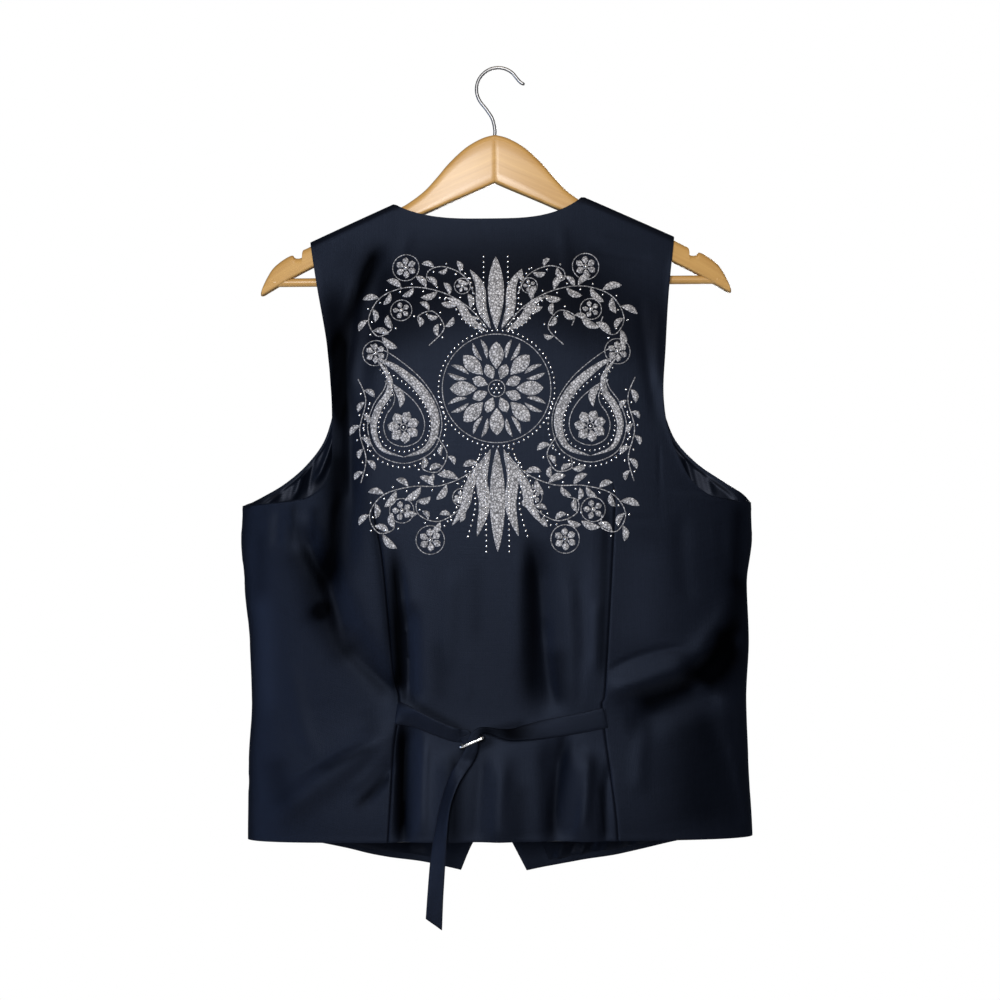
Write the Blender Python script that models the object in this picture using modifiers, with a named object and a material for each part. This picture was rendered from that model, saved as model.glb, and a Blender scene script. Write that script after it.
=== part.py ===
"""A dark tailored vest, seen from its back, on a contoured wooden hanger.

Sizes are in millimetres and are turned to metres where a mesh is made.
The drawing frame has x = 0 on the hanger's centre line, +Y towards the wearer's front
and z = 0 at the inside of the hook's crown. The empty "hang_point" then moves all of it
sideways, so that the model's origin is the point of the hook that bears on a rail.
"""
import math

import bmesh
import bpy
from mathutils import Matrix, Vector
from mathutils.bvhtree import BVHTree

MM = 0.001

# Cloth
WALL = 1.8
LINING_WALL = 1.0
STRAP_WALL = 1.4
SEAM_GAP = 0.3
SIDE_GAP = 0.6
LAY_GAP = 0.4
LINING_GAP = 0.6

# Hanger
HANGER_HALF = 224.0
ARM_FORWARD = 24.0
ARM_HALF_THICK = 6.5
ARM_ROUND = 6.0
ARM_CORNER = 2.2
BAR_RADIUS = 4.1
BAR_HALF = 211.0
BAR_Y = 18.5
BAR_Z = -196.5
WIRE_RADIUS = 1.6
HOOK_RADIUS = 20.4
CROWN_X = 3.5
STEM_END_Z = -61.2

# Vest, at the shoulder
NECK_LEFT = -96.0
NECK_RIGHT = 82.5
TIP_LEFT = -175.0
TIP_RIGHT = 168.5
SHOULDER_X = 89.3
SHOULDER_Z = -122.6
SHOULDER_SLOPE = 0.423
NECK_DROP_Z = -141.5
NECK_CURVE = 3.2
WRAP_OUT = 7.9
WRAP_DOWN = 7.2
NECK_ROUND = 75.0

# Drop below the shoulder line at which a panel leaves the hanger, and the run in which it does
OVER_ARM_BACK = (30.0, 140.0)
OVER_ARM_FRONT = (8.0, 85.0)

# Folds fade towards the side seams, and begin at this drop below the shoulder line
CALM_SIDE = 26.0
CALM_TOP_BACK = (20.0, 40.0)
CALM_TOP_FRONT = (70.0, 50.0)

# How strongly the side edges of a panel pull the cloth beside them
BACK_PULL = 2.4
FRONT_PULL = 1.7

# Vest, lower down
UNDERARM_Z = -409.0
HEM_SIDE_Z = -722.0
BACK_HEM_Z = -717.5
LAP = 12.0
UNDER_REACH = 34.0
UNDER_RUN = 30.0
VEE_BOW = 5.0
FIRST_BUTTON_Z = -376.0
FIRST_BUTTON_DROP = 8.0
BUTTON_STEP = 77.5
BUTTON_COUNT = 5
BUTTON_RADIUS = 7.6
BUTTON_THICK = 3.2
BUTTON_STEPS = 16

# Half-width to the side seam, left and right of the centre line
SIDE = [
    {"z": -150.0, "left": 243.0, "right": 240.0},
    {"z": -380.0, "left": 241.5, "right": 240.5},
    {"z": UNDERARM_Z, "left": 240.0, "right": 238.6},
    {"z": -442.0, "left": 241.5, "right": 239.2},
    {"z": -485.0, "left": 238.5, "right": 234.0},
    {"z": -537.0, "left": 234.0, "right": 235.5},
    {"z": -594.0, "left": 232.5, "right": 232.7},
    {"z": -650.0, "left": 235.7, "right": 234.0},
    {"z": HEM_SIDE_Z, "left": 236.8, "right": 237.2},
    {"z": -790.0, "left": 237.0, "right": 237.4},
]

# How far the back and the fronts stand from the side seam, and where that seam lies
DEPTH = [
    {"z": -150.0, "back": 36.0, "front": 34.0, "seam": 8.0},
    {"z": -300.0, "back": 39.0, "front": 38.0, "seam": 8.0},
    {"z": -410.0, "back": 41.0, "front": 42.0, "seam": 8.0},
    {"z": -594.0, "back": 39.0, "front": 43.0, "seam": 8.0},
    {"z": -722.0, "back": 46.0, "front": 42.0, "seam": 6.0},
    {"z": -790.0, "back": 48.0, "front": 42.0, "seam": 5.0},
]

# Armhole of the back, and of the fronts, below the shoulder tips
BACK_ARMHOLE = [
    {"z": -206.0, "left": 168.0, "right": 163.0},
    {"z": -260.0, "left": 157.6, "right": 157.8},
    {"z": -300.0, "left": 153.4, "right": 154.3},
    {"z": -330.0, "left": 152.4, "right": 156.4},
    {"z": -350.0, "left": 152.4, "right": 161.5},
    {"z": -370.0, "left": 153.4, "right": 170.0},
    {"z": -387.0, "left": 159.6, "right": 179.5},
    {"z": -399.0, "left": 173.0, "right": 193.5},
    {"z": -405.0, "left": 191.5, "right": 210.0},
]
FRONT_ARMHOLE = [
    {"z": -206.0, "left": 165.0, "right": 160.0},
    {"z": -260.0, "left": 156.0, "right": 156.0},
    {"z": -300.0, "left": 154.6, "right": 154.6},
    {"z": -324.0, "left": 158.9, "right": 161.9},
    {"z": -349.0, "left": 167.8, "right": 172.1},
    {"z": -371.0, "left": 184.6, "right": 191.9},
    {"z": -388.0, "left": 204.3, "right": 215.4},
    {"z": -400.0, "left": 223.8, "right": 232.5},
]

# Hem of a front, from its side seam to its point
FRONT_HEM = [
    {"x": 191.0, "z": -729.0},
    {"x": 150.0, "z": -738.5},
    {"x": 113.0, "z": -748.0},
    {"x": 70.0, "z": -755.5},
]
FRONT_POINT = {"left": (-38.0, -763.0), "right": (25.5, -763.5)}
CUTAWAY = {
    "left": [(LAP, -690.0), (4.0, -705.0), (-14.0, -720.0), (-27.0, -738.0)],
    "right": [(-LAP, -690.0), (-8.0, -705.0), (3.0, -721.0), (12.5, -738.0)],
}

# Large folds. A fold runs from (x, z) to (x2, z2); height is outwards, width is its reach to each
# side, and bow is how far its middle lies aside of the straight line
BACK_FOLDS = [
    {"x": -106.0, "z": -176.0, "x2": -127.0, "z2": -301.0, "width": 17.0, "height": -2.6, "bow": 0.0},
    {"x": -127.0, "z": -301.0, "x2": -142.0, "z2": -471.0, "width": 17.0, "height": -4.2, "bow": 0.0},
    {"x": -177.0, "z": -433.0, "x2": -134.0, "z2": -533.0, "width": 20.0, "height": -4.6, "bow": 0.0},
    {"x": -135.0, "z": -531.0, "x2": -93.0, "z2": -589.0, "width": 20.0, "height": -3.4, "bow": 0.0},
    {"x": -98.0, "z": -613.0, "x2": -208.0, "z2": -697.0, "width": 22.0, "height": 4.0, "bow": 0.0},
    {"x": -83.0, "z": -505.0, "x2": -82.0, "z2": -590.0, "width": 14.0, "height": -5.0, "bow": 0.0},
    {"x": -82.0, "z": -610.0, "x2": -88.0, "z2": -722.0, "width": 14.0, "height": -5.5, "bow": 0.0},
    {"x": -44.0, "z": -640.0, "x2": -47.0, "z2": -722.0, "width": 18.0, "height": 3.0, "bow": 0.0},
    {"x": 0.0, "z": -636.0, "x2": 2.0, "z2": -722.0, "width": 20.0, "height": 3.0, "bow": 0.0},
    {"x": 41.0, "z": -455.0, "x2": 44.0, "z2": -600.0, "width": 19.0, "height": -4.0, "bow": 0.0},
    {"x": 50.0, "z": -632.0, "x2": 52.0, "z2": -722.0, "width": 18.0, "height": -4.5, "bow": 0.0},
    {"x": 75.0, "z": -640.0, "x2": 81.0, "z2": -722.0, "width": 16.0, "height": 3.0, "bow": 0.0},
    {"x": 102.0, "z": -584.0, "x2": 181.0, "z2": -556.0, "width": 20.0, "height": 4.5, "bow": 0.0},
    {"x": 184.0, "z": -554.0, "x2": 232.0, "z2": -502.0, "width": 20.0, "height": 4.0, "bow": 0.0},
    {"x": 125.0, "z": -615.0, "x2": 209.0, "z2": -585.0, "width": 24.0, "height": -5.0, "bow": -6.0},
]
FRONT_FOLDS = [
    {"x": -128.0, "z": -230.0, "x2": -140.0, "z2": -420.0, "width": 20.0, "height": -3.0, "bow": 0.0},
    {"x": -196.0, "z": -440.0, "x2": -150.0, "z2": -600.0, "width": 22.0, "height": -3.5, "bow": 0.0},
    {"x": -70.0, "z": -520.0, "x2": -78.0, "z2": -755.0, "width": 24.0, "height": 3.5, "bow": 0.0},
    {"x": -118.0, "z": -600.0, "x2": -126.0, "z2": -745.0, "width": 22.0, "height": -3.0, "bow": 0.0},
    {"x": 120.0, "z": -250.0, "x2": 134.0, "z2": -430.0, "width": 20.0, "height": -3.0, "bow": 0.0},
    {"x": 190.0, "z": -450.0, "x2": 146.0, "z2": -590.0, "width": 22.0, "height": -3.0, "bow": 0.0},
    {"x": 80.0, "z": -540.0, "x2": 84.0, "z2": -755.0, "width": 24.0, "height": 3.5, "bow": 0.0},
    {"x": 136.0, "z": -610.0, "x2": 140.0, "z2": -742.0, "width": 22.0, "height": -3.0, "bow": 0.0},
]

# Wooden arm, from the mitre to its tip: distance from the centre line, top edge and lower edge
ARM = [
    {"x": 0.25, "top": -61.6, "low": -106.7},
    {"x": 12.0, "top": -64.8, "low": -112.0},
    {"x": 27.6, "top": -73.6, "low": -118.6},
    {"x": 43.3, "top": -87.8, "low": -125.2},
    {"x": 54.7, "top": -101.0, "low": -130.2},
    {"x": 67.0, "top": -113.9, "low": -135.2},
    {"x": 82.7, "top": -125.2, "low": -141.8},
    {"x": 92.0, "top": -129.6, "low": -145.8},
    {"x": 101.0, "top": -132.2, "low": -149.8},
    {"x": 115.0, "top": -136.6, "low": -156.2},
    {"x": 130.0, "top": -142.6, "low": -163.0},
    {"x": 160.0, "top": -155.4, "low": -176.6},
    {"x": 178.0, "top": -164.2, "low": -185.0},
    {"x": 183.0, "top": -166.6, "low": -187.3},
    {"x": 184.0, "top": -173.0, "low": -187.8},
    {"x": 190.0, "top": -173.6, "low": -190.8},
    {"x": 193.5, "top": -170.8, "low": -192.5},
    {"x": 202.0, "top": -174.6, "low": -197.2},
    {"x": 211.5, "top": -181.8, "low": -202.4},
    {"x": 217.0, "top": -189.4, "low": -205.4},
    {"x": 221.0, "top": -197.0, "low": -207.6},
    {"x": HANGER_HALF, "top": -204.5, "low": -208.3},
]

# Straps: centre line, lift off the back, width, and turn about their own length in degrees
SLIDE_X = -25.0
SLIDE_Z = -625.4
SLIDE_ANGLE = 22.5
SLIDE_HALF = 12.9
SLIDE_WIRE = 1.5
SLIDE_CORNER = 2.4
SLIDE_INNER_LIFT = 5.4
SLIDE_OUTER_LIFT = 12.9
SLIDE_REACH = 28.0
STRAP_END_OFFSET = 3.2
STRAP_END_WIDTH = 10.4
STRAP_LEFT = [
    {"x": -92.8, "z": -600.3, "lift": 1.6, "width": 20.5, "turn": 0.0},
    {"x": -85.0, "z": -602.3, "lift": 3.4, "width": 19.0, "turn": 8.0},
    {"x": -74.0, "z": -606.4, "lift": 5.0, "width": 16.5, "turn": 18.0},
    {"x": -59.0, "z": -612.8, "lift": 5.8, "width": 14.5, "turn": 20.0},
    {"x": -46.0, "z": -617.8, "lift": 5.0, "width": 13.5, "turn": 16.0},
    {"x": -37.0, "z": -620.2, "lift": 3.6, "width": 12.5, "turn": 8.0},
]
STRAP_RIGHT = [
    {"x": 95.8, "z": -606.4, "lift": 1.3, "width": 19.0, "turn": 0.0},
    {"x": 74.0, "z": -610.6, "lift": 1.4, "width": 18.0, "turn": 0.0},
    {"x": 47.0, "z": -614.6, "lift": 2.0, "width": 17.0, "turn": 4.0},
    {"x": 27.0, "z": -617.4, "lift": 4.6, "width": 14.5, "turn": 22.0},
    {"x": 12.0, "z": -619.2, "lift": 7.8, "width": 11.5, "turn": 34.0},
    {"x": 2.0, "z": -618.2, "lift": 9.4, "width": 8.6, "turn": 14.0},
    {"x": -6.0, "z": -615.8, "lift": 10.0, "width": 6.4, "turn": 0.0},
    {"x": -12.0, "z": -614.6, "lift": 10.0, "width": 5.8, "turn": 0.0},
    {"x": -17.6, "z": -615.2, "lift": 10.0, "width": 6.2, "turn": 0.0},
    {"x": -22.0, "z": -619.4, "lift": 10.0, "width": 8.4, "turn": 0.0},
    {"x": -24.2, "z": -626.0, "lift": 10.0, "width": 10.4, "turn": 0.0},
    {"x": -25.6, "z": -633.5, "lift": 9.8, "width": 11.6, "turn": 0.0},
    {"x": -29.6, "z": -641.5, "lift": 9.4, "width": 12.0, "turn": 0.0},
    {"x": -36.0, "z": -650.5, "lift": 8.4, "width": 11.8, "turn": 12.0},
    {"x": -43.0, "z": -663.0, "lift": 7.2, "width": 12.4, "turn": 36.0},
    {"x": -49.5, "z": -682.0, "lift": 6.2, "width": 13.5, "turn": 44.0},
    {"x": -53.5, "z": -706.0, "lift": 5.2, "width": 14.0, "turn": 34.0},
    {"x": -56.8, "z": -735.0, "lift": 4.2, "width": 14.6, "turn": 14.0},
    {"x": -59.0, "z": -762.0, "lift": 4.2, "width": 14.8, "turn": 4.0},
    {"x": -60.8, "z": -787.0, "lift": 4.2, "width": 15.0, "turn": 0.0},
]
TAIL_SLANT = 9.0

# Where the straps' seats are measured from, and how far above the hem the last one is
MEASURE_FROM = -200.0
ABOVE_HEM = 3.0

# Where the grid lines of a panel lie, as shares of its width and of its height
UNDERARM_SHARE = 0.49
EDGE_AT_SIDE = [0.0, 0.00053, 0.0025, 0.0084, 0.019, 0.038, 0.0675, 0.101]
EDGE_AT_ARMHOLE = [0.0, 0.012, 0.025, 0.038, 0.052, 0.068, 0.084, 0.101]
EDGE_SPREAD_FRONT = 2.1
NECK_SHARE = 0.235
COLUMNS_NECK = [0.025, 0.07, 0.15, 0.28, 0.42, 0.56, 0.7, 0.85, 1.0]
LINING_AT_ARMHOLE = [1, 3, 5, 7, 8, 9, 10, 11, 12, 13]
LINING_AT_SIDE = [4, 5, 6, 7, 8, 9, 10, 11, 12, 13]
LINING_ROWS = 8
LINING_HEM = 0.99
ROWS_TOP = [0.0, 0.0009, 0.004, 0.009, 0.016, 0.03, 0.055, 0.09, 0.13, 0.17, 0.21, 0.25, 0.29]
ROWS_ARMHOLE = [0.325, 0.352, 0.376, 0.4, 0.422, 0.442, 0.46, 0.476, UNDERARM_SHARE]
ROWS_SIDE = [UNDERARM_SHARE + (1.0 - UNDERARM_SHARE) * (row + 1) / 12 for row in range(12)]
ROWS = ROWS_TOP + ROWS_ARMHOLE + ROWS_SIDE


def mix(low, high, share):
    return low + (high - low) * share


def smoothstep(value):
    value = max(0.0, min(1.0, value))
    return value * value * (3.0 - 2.0 * value)


def read_table(table, column, z):
    """Value of one column at height z, eased between the table's rows, which run downwards."""
    if z >= table[0]["z"]:
        return table[0][column]
    for upper, lower in zip(table, table[1:]):
        if z >= lower["z"]:
            share = (upper["z"] - z) / (upper["z"] - lower["z"])
            return mix(upper[column], lower[column], smoothstep(share))
    return table[-1][column]


def curve_through(points, steps=8):
    """Smooth curve through points of any dimension, as a dense list."""
    dense = []
    for index in range(len(points) - 1):
        before = points[max(index - 1, 0)]
        start = points[index]
        end = points[index + 1]
        after = points[min(index + 2, len(points) - 1)]
        for step in range(steps):
            t = step / steps
            dense.append(tuple(
                0.5 * (2 * b + (c - a) * t + (2 * a - 5 * b + 4 * c - d) * t * t
                       + (3 * b - a - 3 * c + d) * t ** 3)
                for a, b, c, d in zip(before, start, end, after)))
    dense.append(tuple(points[-1]))
    return dense


def edge_measure(a, b):
    """Length along an edge that counts its height in full and its breadth by half."""
    return abs(a[1] - b[1]) + 0.5 * abs(a[0] - b[0])


def walk(dense, share):
    """Point of a dense curve at a share of its measured length."""
    lengths = [edge_measure(a, b) for a, b in zip(dense, dense[1:])]
    left = share * sum(lengths)
    for (a, b), length in zip(zip(dense, dense[1:]), lengths):
        if left <= length and length > 0:
            return tuple(mix(p, q, left / length) for p, q in zip(a, b))
        left -= length
    return dense[-1]


def two_part_edge(upper, lower):
    """Edge with a corner: its upper part takes the shares down to the underarm."""
    def at(share):
        if share <= UNDERARM_SHARE:
            return walk(upper, share / UNDERARM_SHARE)
        return walk(lower, (share - UNDERARM_SHARE) / (1.0 - UNDERARM_SHARE))
    return at


# Form of the vest

def arm_depth(x):
    return ARM_FORWARD * (x / HANGER_HALF) ** 2


def shoulder_line(x):
    return SHOULDER_Z - SHOULDER_SLOPE * (abs(x) - SHOULDER_X) - WALL / 2


def fall_below(x, z):
    """Drop below the shoulder line, whose corner at the centre line is rounded for this."""
    rounded = abs(x)
    if rounded < NECK_ROUND:
        rounded = (rounded * rounded / NECK_ROUND + NECK_ROUND) / 2.0
    return shoulder_line(rounded) - z


def ease(value):
    """An S-curve from 0 to 1 with no change of bend at its ends."""
    value = max(0.0, min(1.0, value))
    return value ** 3 * (value * (6.0 * value - 15.0) + 10.0)


def calm(x, z, fall, top):
    """Share of the folds' height that is left near the shoulder and near the side seams."""
    start, run = top
    return smoothstep((half_width(x, z) - abs(x)) / CALM_SIDE) * smoothstep((fall - start) / run)


def half_width(x, z):
    return read_table(SIDE, "left" if x < 0 else "right", z)


def fold_height(folds, x, z):
    total = 0.0
    for fold in folds:
        run = Vector((fold["x2"] - fold["x"], fold["z2"] - fold["z"]))
        here = Vector((x - fold["x"], z - fold["z"]))
        along = here.dot(run) / run.length_squared
        across = (here.x * run.y - here.y * run.x) / run.length
        across -= fold["bow"] * 4.0 * along * (1.0 - along)
        ends = smoothstep((along + 0.12) / 0.3) * smoothstep((1.12 - along) / 0.3)
        total += fold["height"] * ends * math.exp(-(1.6 * across / fold["width"]) ** 2)
    return total


def lens(x, z):
    """1 at the middle of the vest, 0 at the side seam, round in between."""
    share = min(1.0, abs(x) / half_width(x, z))
    return math.sqrt(1.0 - share * share)


def wrap(fall):
    """Quarter round over the hanger's arm: 0 on its ridge, 1 at its flank."""
    share = max(0.0, min(1.0, fall / WRAP_DOWN))
    return math.sqrt(1.0 - (1.0 - share) ** 2)


def back_depth(x, z):
    fall = fall_below(x, z)
    start, run = OVER_ARM_BACK
    over_arm = arm_depth(x) - SEAM_GAP - WRAP_OUT * wrap(fall)
    body = read_table(DEPTH, "seam", z) - SIDE_GAP - read_table(DEPTH, "back", z) * lens(x, z)
    folds = calm(x, z, fall, CALM_TOP_BACK) * fold_height(BACK_FOLDS, x, z)
    return mix(over_arm, body, ease((fall - start) / run)) - folds


def front_depth(x, z, under):
    fall = fall_below(x, z)
    start, run = OVER_ARM_FRONT
    over_arm = arm_depth(x) + SEAM_GAP + WRAP_OUT * wrap(fall)
    body = read_table(DEPTH, "seam", z) + SIDE_GAP + read_table(DEPTH, "front", z) * lens(x, z)
    folds = calm(x, z, fall, CALM_TOP_FRONT) * fold_height(FRONT_FOLDS, x, z)
    lapped = smoothstep((LAP + UNDER_REACH - abs(x)) / UNDER_RUN)
    sink = under * (WALL + 2.0 * SEAM_GAP) * lapped
    return mix(over_arm, body, ease((fall - start) / run)) + folds - sink


# Outlines of the panels in x and z

def shoulder_point(x):
    return (x, shoulder_line(x))


def side_route(side):
    sign = -1.0 if side == "left" else 1.0
    rows = [row for row in SIDE if HEM_SIDE_Z <= row["z"] <= UNDERARM_Z]
    return curve_through([(sign * row[side], row["z"]) for row in rows], 6)


def armhole_route(table, side):
    sign = -1.0 if side == "left" else 1.0
    tip = shoulder_point(TIP_LEFT if side == "left" else TIP_RIGHT)
    points = [tip] + [(sign * row[side], row["z"]) for row in table]
    return curve_through(points + [side_route(side)[0]], 6)


def back_top(share):
    """Left shoulder, neck and right shoulder, with the neck points at fixed shares."""
    if share < NECK_SHARE:
        return shoulder_point(mix(TIP_LEFT, NECK_LEFT, share / NECK_SHARE))
    if share > 1.0 - NECK_SHARE:
        return shoulder_point(mix(TIP_RIGHT, NECK_RIGHT, (1.0 - share) / NECK_SHARE))
    inner = (share - NECK_SHARE) / (1.0 - 2.0 * NECK_SHARE)
    left = shoulder_point(NECK_LEFT)
    right = shoulder_point(NECK_RIGHT)
    drop = 1.0 - abs(2.0 * inner - 1.0) ** NECK_CURVE
    return (mix(left[0], right[0], inner), mix(mix(left[1], right[1], inner), NECK_DROP_Z, drop))


def back_bottom(share):
    x = mix(-half_width(-1.0, HEM_SIDE_Z), half_width(1.0, HEM_SIDE_Z), share)
    return (x, mix(BACK_HEM_Z, HEM_SIDE_Z, abs(2.0 * share - 1.0) ** 2))


def patch(top, bottom, first, last, pull):
    """Point of a four-sided panel; each side edge pulls only the cloth that is near it."""
    def at(share, drop):
        near_first = (1.0 - share) ** pull
        near_last = share ** pull
        point = []
        for axis in (0, 1):
            base = mix(top(share)[axis], bottom(share)[axis], drop)
            bend_first = first(drop)[axis] - mix(top(0.0)[axis], bottom(0.0)[axis], drop)
            bend_last = last(drop)[axis] - mix(top(1.0)[axis], bottom(1.0)[axis], drop)
            point.append(base + near_first * bend_first + near_last * bend_last)
        return tuple(point)
    return at


def back_patch():
    left = two_part_edge(armhole_route(BACK_ARMHOLE, "left"), side_route("left"))
    right = two_part_edge(armhole_route(BACK_ARMHOLE, "right"), side_route("right"))
    return patch(back_top, back_bottom, left, right, BACK_PULL)


def front_patch(side):
    """A front, from its armhole and side seam (share 0) to its lapped edge (share 1)."""
    sign = -1.0 if side == "left" else 1.0
    tip = TIP_LEFT if side == "left" else TIP_RIGHT
    neck = NECK_LEFT if side == "left" else NECK_RIGHT
    point = FRONT_POINT[side]
    hem = [side_route(side)[-1]] + [(sign * row["x"], row["z"]) for row in FRONT_HEM] + [point]
    hem = curve_through(hem, 6)
    top_edge = shoulder_point(neck)
    button_edge = (-sign * LAP, FIRST_BUTTON_Z)
    vee = [top_edge]
    for step in range(1, 6):
        bow = sign * VEE_BOW * math.sin(math.pi * step / 6)
        vee.append((mix(top_edge[0], button_edge[0], step / 6) + bow,
                    mix(top_edge[1], button_edge[1], step / 6)))
    edge = curve_through(vee + [button_edge], 3) + curve_through(CUTAWAY[side] + [point], 4)

    def bottom(share):
        x = mix(hem[0][0], hem[-1][0], share)
        for a, b in zip(hem, hem[1:]):
            if (a[0] - x) * (b[0] - x) <= 0.0 and a[0] != b[0]:
                return (x, mix(a[1], b[1], (x - a[0]) / (b[0] - a[0])))
        return hem[-1]

    outer = two_part_edge(armhole_route(FRONT_ARMHOLE, side), side_route(side))
    return patch(lambda share: shoulder_point(mix(tip, neck, share)), bottom, outer,
                 lambda drop: walk(edge, drop), FRONT_PULL)


# Making the pieces

def fresh_scene():
    for item in list(bpy.data.objects):
        bpy.data.objects.remove(item, do_unlink=True)
    collection = bpy.data.collections.new("biker_vest")
    bpy.context.scene.collection.children.link(collection)
    cutters = bpy.data.collections.new("cutters")
    bpy.context.scene.collection.children.link(cutters)
    return collection, cutters


def material(name, color, roughness, metallic=0.0):
    made = bpy.data.materials.new(name)
    made.use_nodes = True
    shader = made.node_tree.nodes["Principled BSDF"]
    shader.inputs["Base Color"].default_value = (*color, 1.0)
    shader.inputs["Roughness"].default_value = roughness
    shader.inputs["Metallic"].default_value = metallic
    made.diffuse_color = (*color, 1.0)
    return made


def add_object(name, mesh, finish, collection, parent):
    made = bpy.data.objects.new(name, mesh)
    made.data.materials.append(finish)
    made.parent = parent
    collection.objects.link(made)
    return made


def grid_mesh(name, columns, rows, place):
    """Grid whose vertex (column, row) lies at place(column, row), in millimetres."""
    bm = bmesh.new()
    bmesh.ops.create_grid(bm, x_segments=columns - 1, y_segments=rows - 1, size=1.0)
    for vert in bm.verts:
        column = round((vert.co.x + 1.0) / 2.0 * (columns - 1))
        row = round((vert.co.y + 1.0) / 2.0 * (rows - 1))
        vert.co = Vector(place(column, row)) * MM
    mesh = bpy.data.meshes.new(name)
    bm.to_mesh(mesh)
    bm.free()
    mesh.shade_smooth()
    return mesh


def solidify(item, thickness):
    shell = item.modifiers.new("wall", "SOLIDIFY")
    shell.thickness = thickness * MM
    shell.offset = 0.0
    return item


def edge_shares(drop, half_columns):
    """Shares of the columns next to a side edge: close at the side seam, even at the armhole."""
    near = smoothstep((drop - UNDERARM_SHARE + 0.03) / 0.06)
    return [mix(a, b, near) for a, b in zip(EDGE_AT_ARMHOLE, EDGE_AT_SIDE)][:half_columns]


def back_columns(drop):
    edge = edge_shares(drop, len(EDGE_AT_SIDE))
    to_neck = [mix(edge[-1], NECK_SHARE, step / 4) for step in range(1, 5)]
    to_middle = [mix(NECK_SHARE, 0.5, share) for share in COLUMNS_NECK]
    left = edge + to_neck + to_middle
    return left + [1.0 - share for share in reversed(left[:-1])]


def make_back(context):
    at = back_patch()

    def place(column, row):
        drop = ROWS[row]
        x, z = at(back_columns(drop)[column], drop)
        return (x, back_depth(x, z), z)

    mesh = grid_mesh("back", len(back_columns(0.0)), len(ROWS), place)
    return solidify(add_object("back", mesh, context["cloth"], context["parts"], context["hang"]), WALL)


def front_columns(drop):
    edge = [EDGE_SPREAD_FRONT * share for share in edge_shares(drop, len(EDGE_AT_SIDE))]
    return edge + [mix(edge[-1], 1.0, step / 7) for step in range(1, 8)]


def front_point(at, share, drop, under):
    x, z = at(share, drop)
    return Vector((x, front_depth(x, z, under), z))


def make_front(context, side):
    at = front_patch(side)
    under = 0.0 if side == "left" else 1.0

    def place(column, row):
        return front_point(at, front_columns(ROWS[row])[column], ROWS[row], under)

    name = "front_" + side
    mesh = grid_mesh(name, len(front_columns(0.0)), len(ROWS), place)
    return solidify(add_object(name, mesh, context["cloth"], context["parts"], context["hang"]), WALL)


def make_lining(context, side, front):
    """Lining of a front: points of the front's inner face, moved in by a gap."""
    at = front_patch(side)
    bpy.context.view_layer.update()
    tree = BVHTree.FromObject(front, bpy.context.evaluated_depsgraph_get())
    rows = ROWS[LINING_ROWS:-1] + [LINING_HEM]
    inset = LINING_WALL / 2.0 + LINING_GAP

    def place(column, row):
        drop = rows[row]
        shares = front_columns(drop)
        near = smoothstep((drop - UNDERARM_SHARE + 0.03) / 0.06)
        share = mix(shares[LINING_AT_ARMHOLE[column]], shares[LINING_AT_SIDE[column]], near)
        x, z = at(share, drop)
        hit, normal = tree.ray_cast(Vector((x, 0.0, z)) * MM, Vector((0.0, 1.0, 0.0)))[:2]
        return (x, hit.y / MM - inset / abs(normal.y), z)

    name = "lining_" + side
    mesh = grid_mesh(name, len(LINING_AT_SIDE), len(rows), place)
    item = add_object(name, mesh, context["lining"], context["parts"], context["hang"])
    return solidify(item, LINING_WALL)


def outer_face(item):
    """Finds the depth of a panel's outer face at (x, z), from its own finished points."""
    tree = BVHTree.FromObject(item, bpy.context.evaluated_depsgraph_get())

    def depth(x, z):
        start = Vector((x, MEASURE_FROM, max(z, BACK_HEM_Z + ABOVE_HEM))) * MM
        hit = tree.ray_cast(start, Vector((0.0, 1.0, 0.0)))[0]
        return hit.y / MM
    return depth


def seat_depth(depth, x, z):
    """Depth from which the straps are lifted: the back's face, or the slide's level near the slide."""
    far = math.hypot(x - SLIDE_X, z - SLIDE_Z) / SLIDE_REACH
    return mix(depth(SLIDE_X, SLIDE_Z), depth(x, z), smoothstep(2.0 * far - 1.0))


def ribbon(context, name, route, depth, end_slant=0.0):
    """Flat strap along a route on the back. Each cross line lies flat or turned, as its row says."""
    keys = ("x", "z", "lift", "width", "turn")
    dense = curve_through([tuple(row[key] for key in keys) for row in route], 3)
    centres = [Vector((x, seat_depth(depth, x, z) - lift, z)) for x, z, lift, width, turn in dense]
    across = (-0.5, 0.0, 0.5)
    upright = 1.0 if centres[-1].x > centres[0].x else -1.0

    def place(column, row):
        centre = centres[row]
        ahead = centres[min(row + 1, len(centres) - 1)] - centres[max(row - 1, 0)]
        width, turn = dense[row][3], math.radians(dense[row][4])
        flat = upright * Vector((-ahead.z, 0.0, ahead.x)).normalized()
        side = Matrix.Rotation(turn, 3, ahead.normalized()) @ flat
        point = centre + side * width * across[column]
        seat = seat_depth(depth, point.x, point.z) - seat_depth(depth, centre.x, centre.z)
        point.y += seat * math.cos(turn) ** 2
        if row == len(centres) - 1:
            point.z -= end_slant * (0.5 - across[column])
        return point

    mesh = grid_mesh(name, len(across), len(centres), place)
    item = add_object(name, mesh, context["cloth"], context["parts"], context["hang"])
    return solidify(item, STRAP_WALL)


def tube(context, name, points, radius, finish, cyclic=False):
    curve = bpy.data.curves.new(name, "CURVE")
    curve.dimensions = "3D"
    curve.bevel_depth = radius * MM
    curve.bevel_resolution = 2
    curve.use_fill_caps = not cyclic
    spline = curve.splines.new("POLY")
    spline.points.add(len(points) - 1)
    spline.use_cyclic_u = cyclic
    for slot, point in zip(spline.points, points):
        slot.co = (point[0] * MM, point[1] * MM, point[2] * MM, 1.0)
    return add_object(name, curve, finish, context["parts"], context["hang"])


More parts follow.
